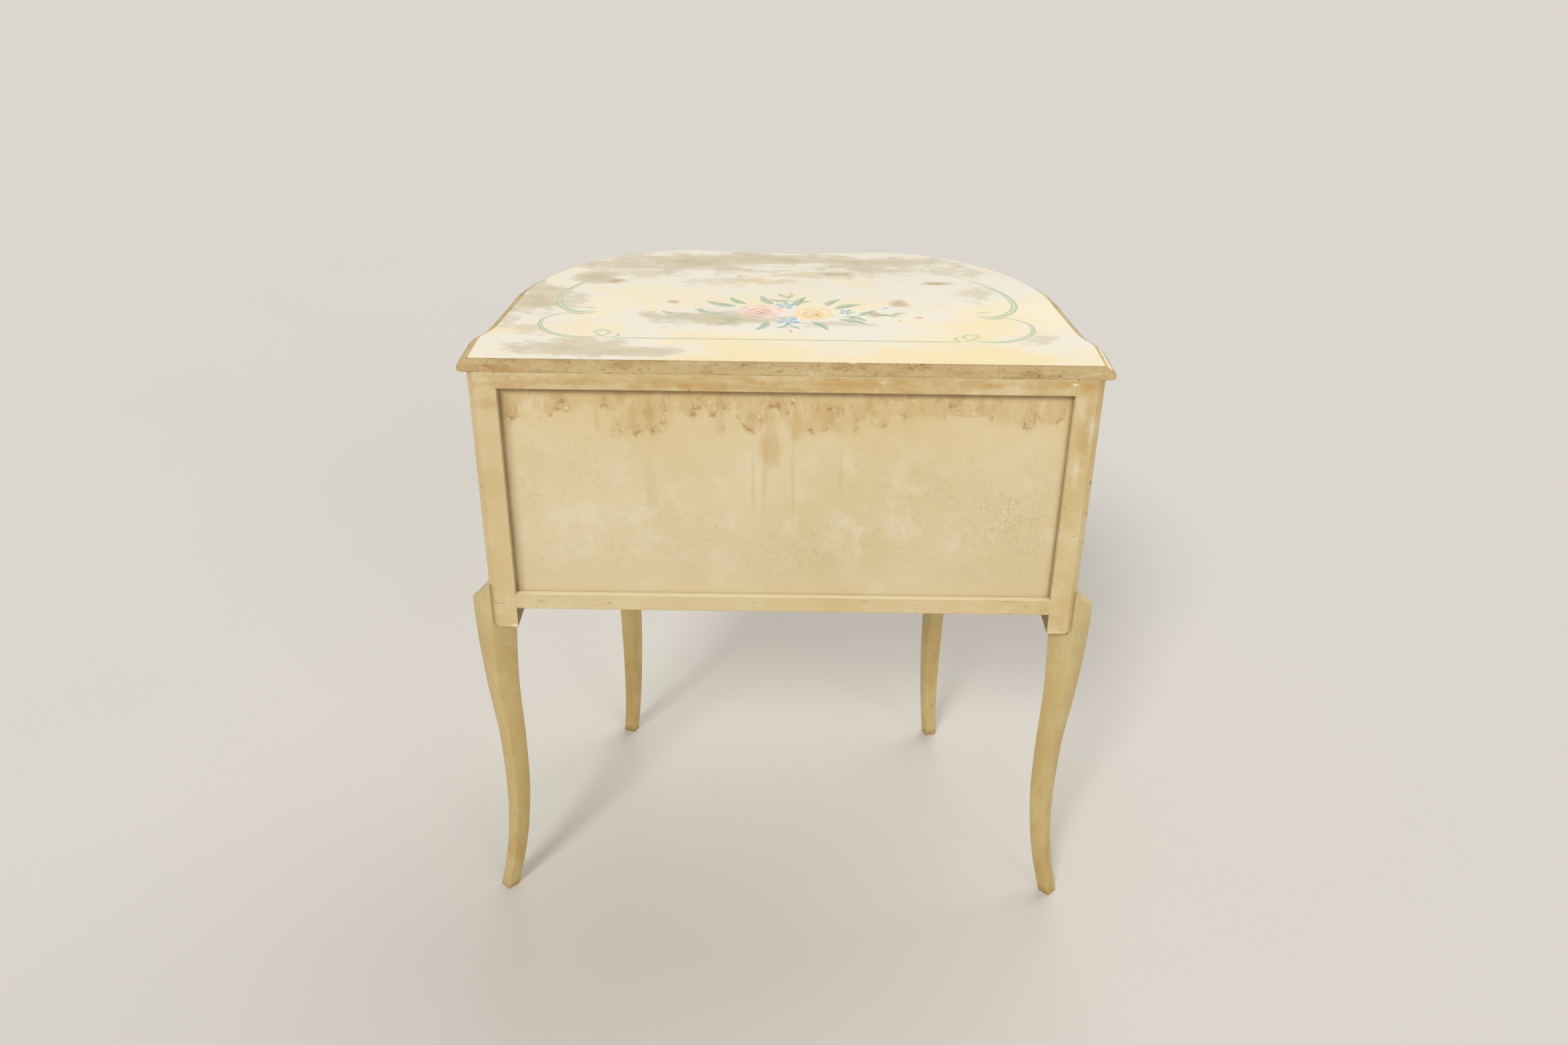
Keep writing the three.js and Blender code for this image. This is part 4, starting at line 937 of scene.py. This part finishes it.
def addBorder(sheet, side, looks):
    def flip(points):
        return [(x * side, y) for x, y in points]

    addRibbon(sheet, flip([(206, 139), (218, 143), (234, 144), (252, 139), (268, 127), (279, 108),
                           (279, 88), (270, 74), (256, 66), (240, 63)]), 8, side, looks, ends=(0.25, 0.6))
    addRibbon(sheet, flip([(206, 139), (200, 134), (198, 127), (203, 122), (211, 122), (215, 128),
                           (211, 132), (206, 130)]),
              4.6, side, looks, layer=3, ends=(0.25, 0.5), step=1.4)
    addStroke(sheet, flip([(195, 145), (190, 141), (187, 135), (190, 131), (195, 134)]), 3.4,
              looks["shade"], looks["light"], layer=1, ends=(0.2, 0.5), step=1.4)
    addStroke(sheet, flip([(214, 128), (208, 137), (200, 142), (190, 145)]), 3.2, looks["dark"],
              looks["light"], layer=0, ends=(0.3, 0.5), step=1.4)
    addRibbon(sheet, flip([(222, 57), (238, 60), (252, 56), (263, 43), (270, 24), (270, 4), (265, -18),
                           (254, -40), (240, -60), (222, -80)]), 12, side, looks, ends=(0.3, 0.8))
    addStroke(sheet, flip([(218, 58), (232, 66), (246, 66), (258, 60)]), 6, looks["light"], looks["dark"],
              layer=3, ends=(0.5, 0.3), strength=0.9)
    addStroke(sheet, flip([(222, 49), (232, 45), (242, 45)]), 4.4, looks["shade"], looks["light"], layer=0,
              ends=(0.4, 0.4), strength=0.8)
    addStroke(sheet, flip([(224, -78), (202, -97), (176, -109), (148, -116), (110, -121), (60, -122),
                           (0, -121)]), 4,
              looks["pale"], looks["dark"], layer=0, ends=(0.1, 0.02), strength=0.6)


def paintTopBorder(material):
    sheet = startSheet()
    looks = borderLooks
    addStroke(sheet, [(-192, 145), (0, 145), (192, 145)], 3.4, looks["shade"], looks["light"],
              ends=(0.03, 0.03), step=6)
    addStroke(sheet, [(-190, 147.6), (0, 147.6), (190, 147.6)], 1.6, looks["pale"], looks["pale"], layer=1,
              strength=0.7, ends=(0.03, 0.03), step=6)
    for side in (-1, 1):
        addBorder(sheet, side, looks)
    layPaint("top_scroll_border", sheet, "top_board", onTop, strokeLooks["liftMm"], material)


# A spray of roses and small blue blossoms on a leafy twig
sprayLooks = {
    "pinkRose": {"deep": "#e3a491", "rim": "#f6ddcf", "mid": "#efc1b0", "heart": "#cf6a58",
                 "dark": "#b9483f"},
    "goldRose": {"deep": "#e8b56b", "rim": "#f9e6b6", "mid": "#f3d08c", "heart": "#d58d43",
                 "dark": "#b96a32"},
    "blue": {"deep": "#5f9fc0", "rim": "#b4d8e4", "heart": "#efd08a"},
    "leafDark": "#6f9482", "leafLight": "#b3c7a4", "vein": "#dbe2c6", "stem": "#8aa388",
    "pinkBud": ("#d88474", "#f2cdbf"), "blueBud": ("#6fa9c6", "#c2dfe6"), "goldBud": ("#e2ac62", "#f6dda2"),
}


def paintTopSpray(material):
    looks = sprayLooks
    sheet = startSheet()
    addTwig(sheet, [(-18, 62), (-62, 66), (-104, 58), (-146, 66)], looks,
            leaves=[(-66, 66, 150, 30, 11), (-84, 62, 214, 26, 10), (-104, 58, 158, 26, 9),
                    (-122, 60, 205, 20, 8)],
            buds=[(-146, 66, 175, 13, "pinkBud"), (-96, 50, 235, 9, "blueBud"),
                  (-128, 74, 120, 9, "goldBud")])
    addTwig(sheet, [(-96, 58), (-100, 46), (-112, 38)], looks, buds=[(-112, 38, 215, 10, "blueBud")])
    addTwig(sheet, [(24, 60), (66, 54), (108, 64), (152, 58)], looks,
            leaves=[(70, 55, 18, 32, 11), (86, 58, -34, 26, 10), (112, 63, 22, 26, 9), (128, 61, -24, 20, 8)],
            buds=[(152, 58, 4, 13, "goldBud"), (98, 50, -60, 9, "pinkBud"), (134, 74, 60, 9, "blueBud")])
    addTwig(sheet, [(104, 66), (112, 78), (124, 84)], looks, buds=[(124, 84, 25, 10, "blueBud")])
    addTwig(sheet, [(0, 40), (-8, 20), (4, 4), (-4, -10)], looks,
            leaves=[(-6, 24, 200, 26, 10), (-2, 14, -20, 26, 10), (0, 4, 230, 18, 8), (0, -2, -50, 16, 7)],
            buds=[(-4, -10, -95, 11, "goldBud")])
    addTwig(sheet, [(-6, 84), (2, 98), (-4, 112)], looks, leaves=[(0, 96, 40, 18, 7), (-2, 100, 140, 18, 7)],
            buds=[(-4, 112, 100, 9, "pinkBud")])
    for x, y, degrees, length, width in ((-56, 40, 205, 38, 15), (-60, 76, 152, 36, 14), (54, 76, 40, 38, 15),
                                         (60, 34, -28, 40, 15), (-12, 30, 250, 34, 14), (16, 26, -66, 34, 14),
                                         (-28, 84, 122, 34, 13), (22, 84, 66, 34, 13), (-46, 30, 232, 32, 12),
                                         (48, 26, -52, 32, 12)):
        addLeaf(sheet, (x, y), degrees, length, width, looks, bend=0.12)
    addRose(sheet, (30, 52), 29, 12, looks["pinkRose"])
    addRose(sheet, (-32, 57), 26, 40, looks["goldRose"])
    for x, y, radius, turn in ((-2, 84, 15, 18), (2, 30, 13, 50), (68, 70, 10.5, 5), (-70, 50, 10, 30)):
        addBlossom(sheet, (x, y), radius, turn, looks["blue"])
    layPaint("top_flower_spray", sheet, "top_board", onTop, strokeLooks["liftMm"], material)


# Drawer fronts repeat the line, with cut-in corners, and a smaller spray between the pulls
frontLooks = {"insetMm": 13, "cornerMm": 10, "lineMm": 2.2, "sprayShare": 0.4}


def paintDrawerFront(level, material):
    looks = sprayLooks
    carrier = f"{level}_drawer_front"
    low, high = (corner * 1000 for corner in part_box(carrier))
    inset, notch = frontLooks["insetMm"], frontLooks["cornerMm"]
    left, right, bottom, top = low.x + inset, high.x - inset, low.z + inset, high.z - inset
    middle = (bottom + top) / 2
    sheet = startSheet()
    light, dark = borderLooks["light"], borderLooks["dark"]
    for a, b in (((left + notch, bottom), (right - notch, bottom)),
                 ((right, bottom + notch), (right, top - notch)),
                 ((right - notch, top), (left + notch, top)), ((left, top - notch), (left, bottom + notch))):
        half = ((a[0] + b[0]) / 2, (a[1] + b[1]) / 2)
        addStroke(sheet, [a, half, b], frontLooks["lineMm"], dark, light, ends=(0.02, 0.02), step=3)
    for corner, fromDegrees in (((left, bottom), 0), ((right, bottom), 90), ((right, top), 180),
                                ((left, top), 270)):
        addArc(sheet, corner, notch, fromDegrees, fromDegrees + 90, frontLooks["lineMm"], light, dark,
               layer=1, ends=(0.1, 0.1))
    small = startSheet()
    for side in (-1, 1):
        addTwig(small, [(10, 4), (60, 10), (104, -6), (140, 2)], looks,
                leaves=[(56, 9, 30, 34, 13), (76, 4, -34, 30, 12), (104, -5, 22, 28, 11)],
                buds=[(140, 2, 0, 16, "pinkBud"), (96, -10, -55, 12, "blueBud")], side=side)
    for x, y, degrees in ((-26, 24, 150), (26, 24, 30), (-26, -20, 212), (26, -20, -32), (-6, 28, 108),
                          (8, -26, -76)):
        addLeaf(small, (x, y), degrees, 42, 17, looks, bend=0.12)
    addRose(small, (0, 0), 32, 20, looks["pinkRose"])
    addBlossom(small, (-46, 6), 18, 10, looks["blue"])
    addBlossom(small, (46, 6), 18, 45, looks["blue"])
    share = frontLooks["sprayShare"]
    base = len(sheet["points"])
    sheet["points"] += [(a * share, middle + b * share, layer) for a, b, layer in small["points"]]
    sheet["faces"] += [tuple(base + i for i in face) for face in small["faces"]]
    sheet["pigment"] += small["pigment"]
    sheet["brush"] += small["brush"]
    layPaint(f"{level}_drawer_front_painting", sheet, carrier, onFront, strokeLooks["frontLiftMm"], material)


topStrokes = strokePaint("thinned oil colour, worn with the top", wornTop)
frontStrokes = strokePaint("thinned oil colour, drawer fronts")
paintTopBorder(topStrokes)
paintTopSpray(topStrokes)
for level in ("lower", "upper"):
    paintDrawerFront(level, frontStrokes)
print("painting laid on")


# Stage, light and camera

stageLooks = {"floor": "#dcd8d1", "floorShade": "#dad6ce", "halfFloor": 30.0, "backdrop": "#dedad3",
              "sky": "#f2f0ec", "skyStrength": 0.48}
# Where each light comes from, its strength, and the angle it fills in degrees
sunLooks = {
    "high light behind the camera": ((0.3, 0.75, 0.65), 1.35, 14),
    "low light behind the camera": ((-0.45, 0.8, 0.4), 0.4, 26),
    "soft light from the front": ((-0.35, -0.6, 0.75), 1.1, 60),
}
# Fitted to the photograph: behind the piece, 28 degrees down, with a slight roll; radians and metres
cameraLooks = {"yaw": 0.00319, "pitch": 0.49207, "roll": 0.01447, "lensMm": 30.612,
               "sensorMm": 36, "nearest": 0.05, "place": (0.0045, 1.5414, 1.2838)}


def makeStage():
    half = stageLooks["halfFloor"]
    mesh = bpy.data.meshes.new("floor")
    mesh.from_pydata([(-half, -half, 0), (half, -half, 0), (half, half, 0), (-half, half, 0)], [],
                     [(0, 1, 2, 3)])
    floor = bpy.data.objects.new("floor", mesh)
    bpy.context.scene.collection.objects.link(floor)
    material, node, coords = startMaterial("matt painted studio floor")
    cloud = node("TexNoise", {"Vector": coords, "Scale": 2.5, "Detail": 3})
    tones = {6: linear(stageLooks["floor"]), 7: linear(stageLooks["floorShade"])}
    colour = node("Mix", {0: cloud, **tones}, **inColour)
    shader = node("BsdfPrincipled", {"Base Color": colour, "Roughness": 0.9, "Specular IOR Level": 0.05})
    node("OutputMaterial", {"Surface": shader})
    mesh.materials.append(material)


def makeSun(name, source, strength, angle):
    lamp = bpy.data.lights.new(name, "SUN")
    lamp.energy = strength
    lamp.angle = math.radians(angle)
    holder = bpy.data.objects.new(name, lamp)
    holder.rotation_euler = Vector(source).to_track_quat("Z", "Y").to_euler()
    bpy.context.scene.collection.objects.link(holder)


def makeSky():
    world = bpy.data.worlds.new("studio")
    world.use_nodes = True
    world.node_tree.nodes.clear()
    node = partial(addNode, world.node_tree)
    light = node("Background", {"Color": linear(stageLooks["sky"]), "Strength": stageLooks["skyStrength"]})
    seen = node("Background", {"Color": linear(stageLooks["backdrop"]), "Strength": 1.0})
    direct = node("LightPath", out="Is Camera Ray")
    mirrored = node("LightPath", out="Is Glossy Ray")
    through = node("LightPath", out="Is Transmission Ray")
    share = node("Math", {0: direct, 1: mirrored}, **larger)
    share = node("Math", {0: share, 1: through}, **larger)
    node("OutputWorld", {"Surface": node("MixShader", {0: share, 1: light, 2: seen})})
    bpy.context.scene.world = world


def makeCamera():
    looks = cameraLooks
    yaw, pitch, roll = looks["yaw"], looks["pitch"], looks["roll"]
    ahead = Vector((-math.sin(yaw) * math.cos(pitch), -math.cos(yaw) * math.cos(pitch), -math.sin(pitch)))
    right = Vector((-math.cos(yaw), math.sin(yaw), 0))
    up = right.cross(ahead)
    rolledRight = right * math.cos(roll) + up * math.sin(roll)
    rolledUp = up * math.cos(roll) - right * math.sin(roll)
    camera = bpy.data.cameras.new("camera")
    camera.sensor_width = looks["sensorMm"]
    camera.lens = looks["lensMm"]
    camera.clip_start = looks["nearest"]
    holder = bpy.data.objects.new("camera", camera)
    turn = Matrix((rolledRight, rolledUp, -ahead)).transposed().to_4x4()
    holder.matrix_world = Matrix.Translation(Vector(looks["place"])) @ turn
    bpy.context.scene.collection.objects.link(holder)
    bpy.context.scene.camera = holder


makeStage()
makeSky()
makeCamera()
for name, (source, strength, angle) in sunLooks.items():
    makeSun(name, source, strength, angle)
bpy.context.scene.view_settings.view_transform = "Standard"
print("stage, light and camera made")
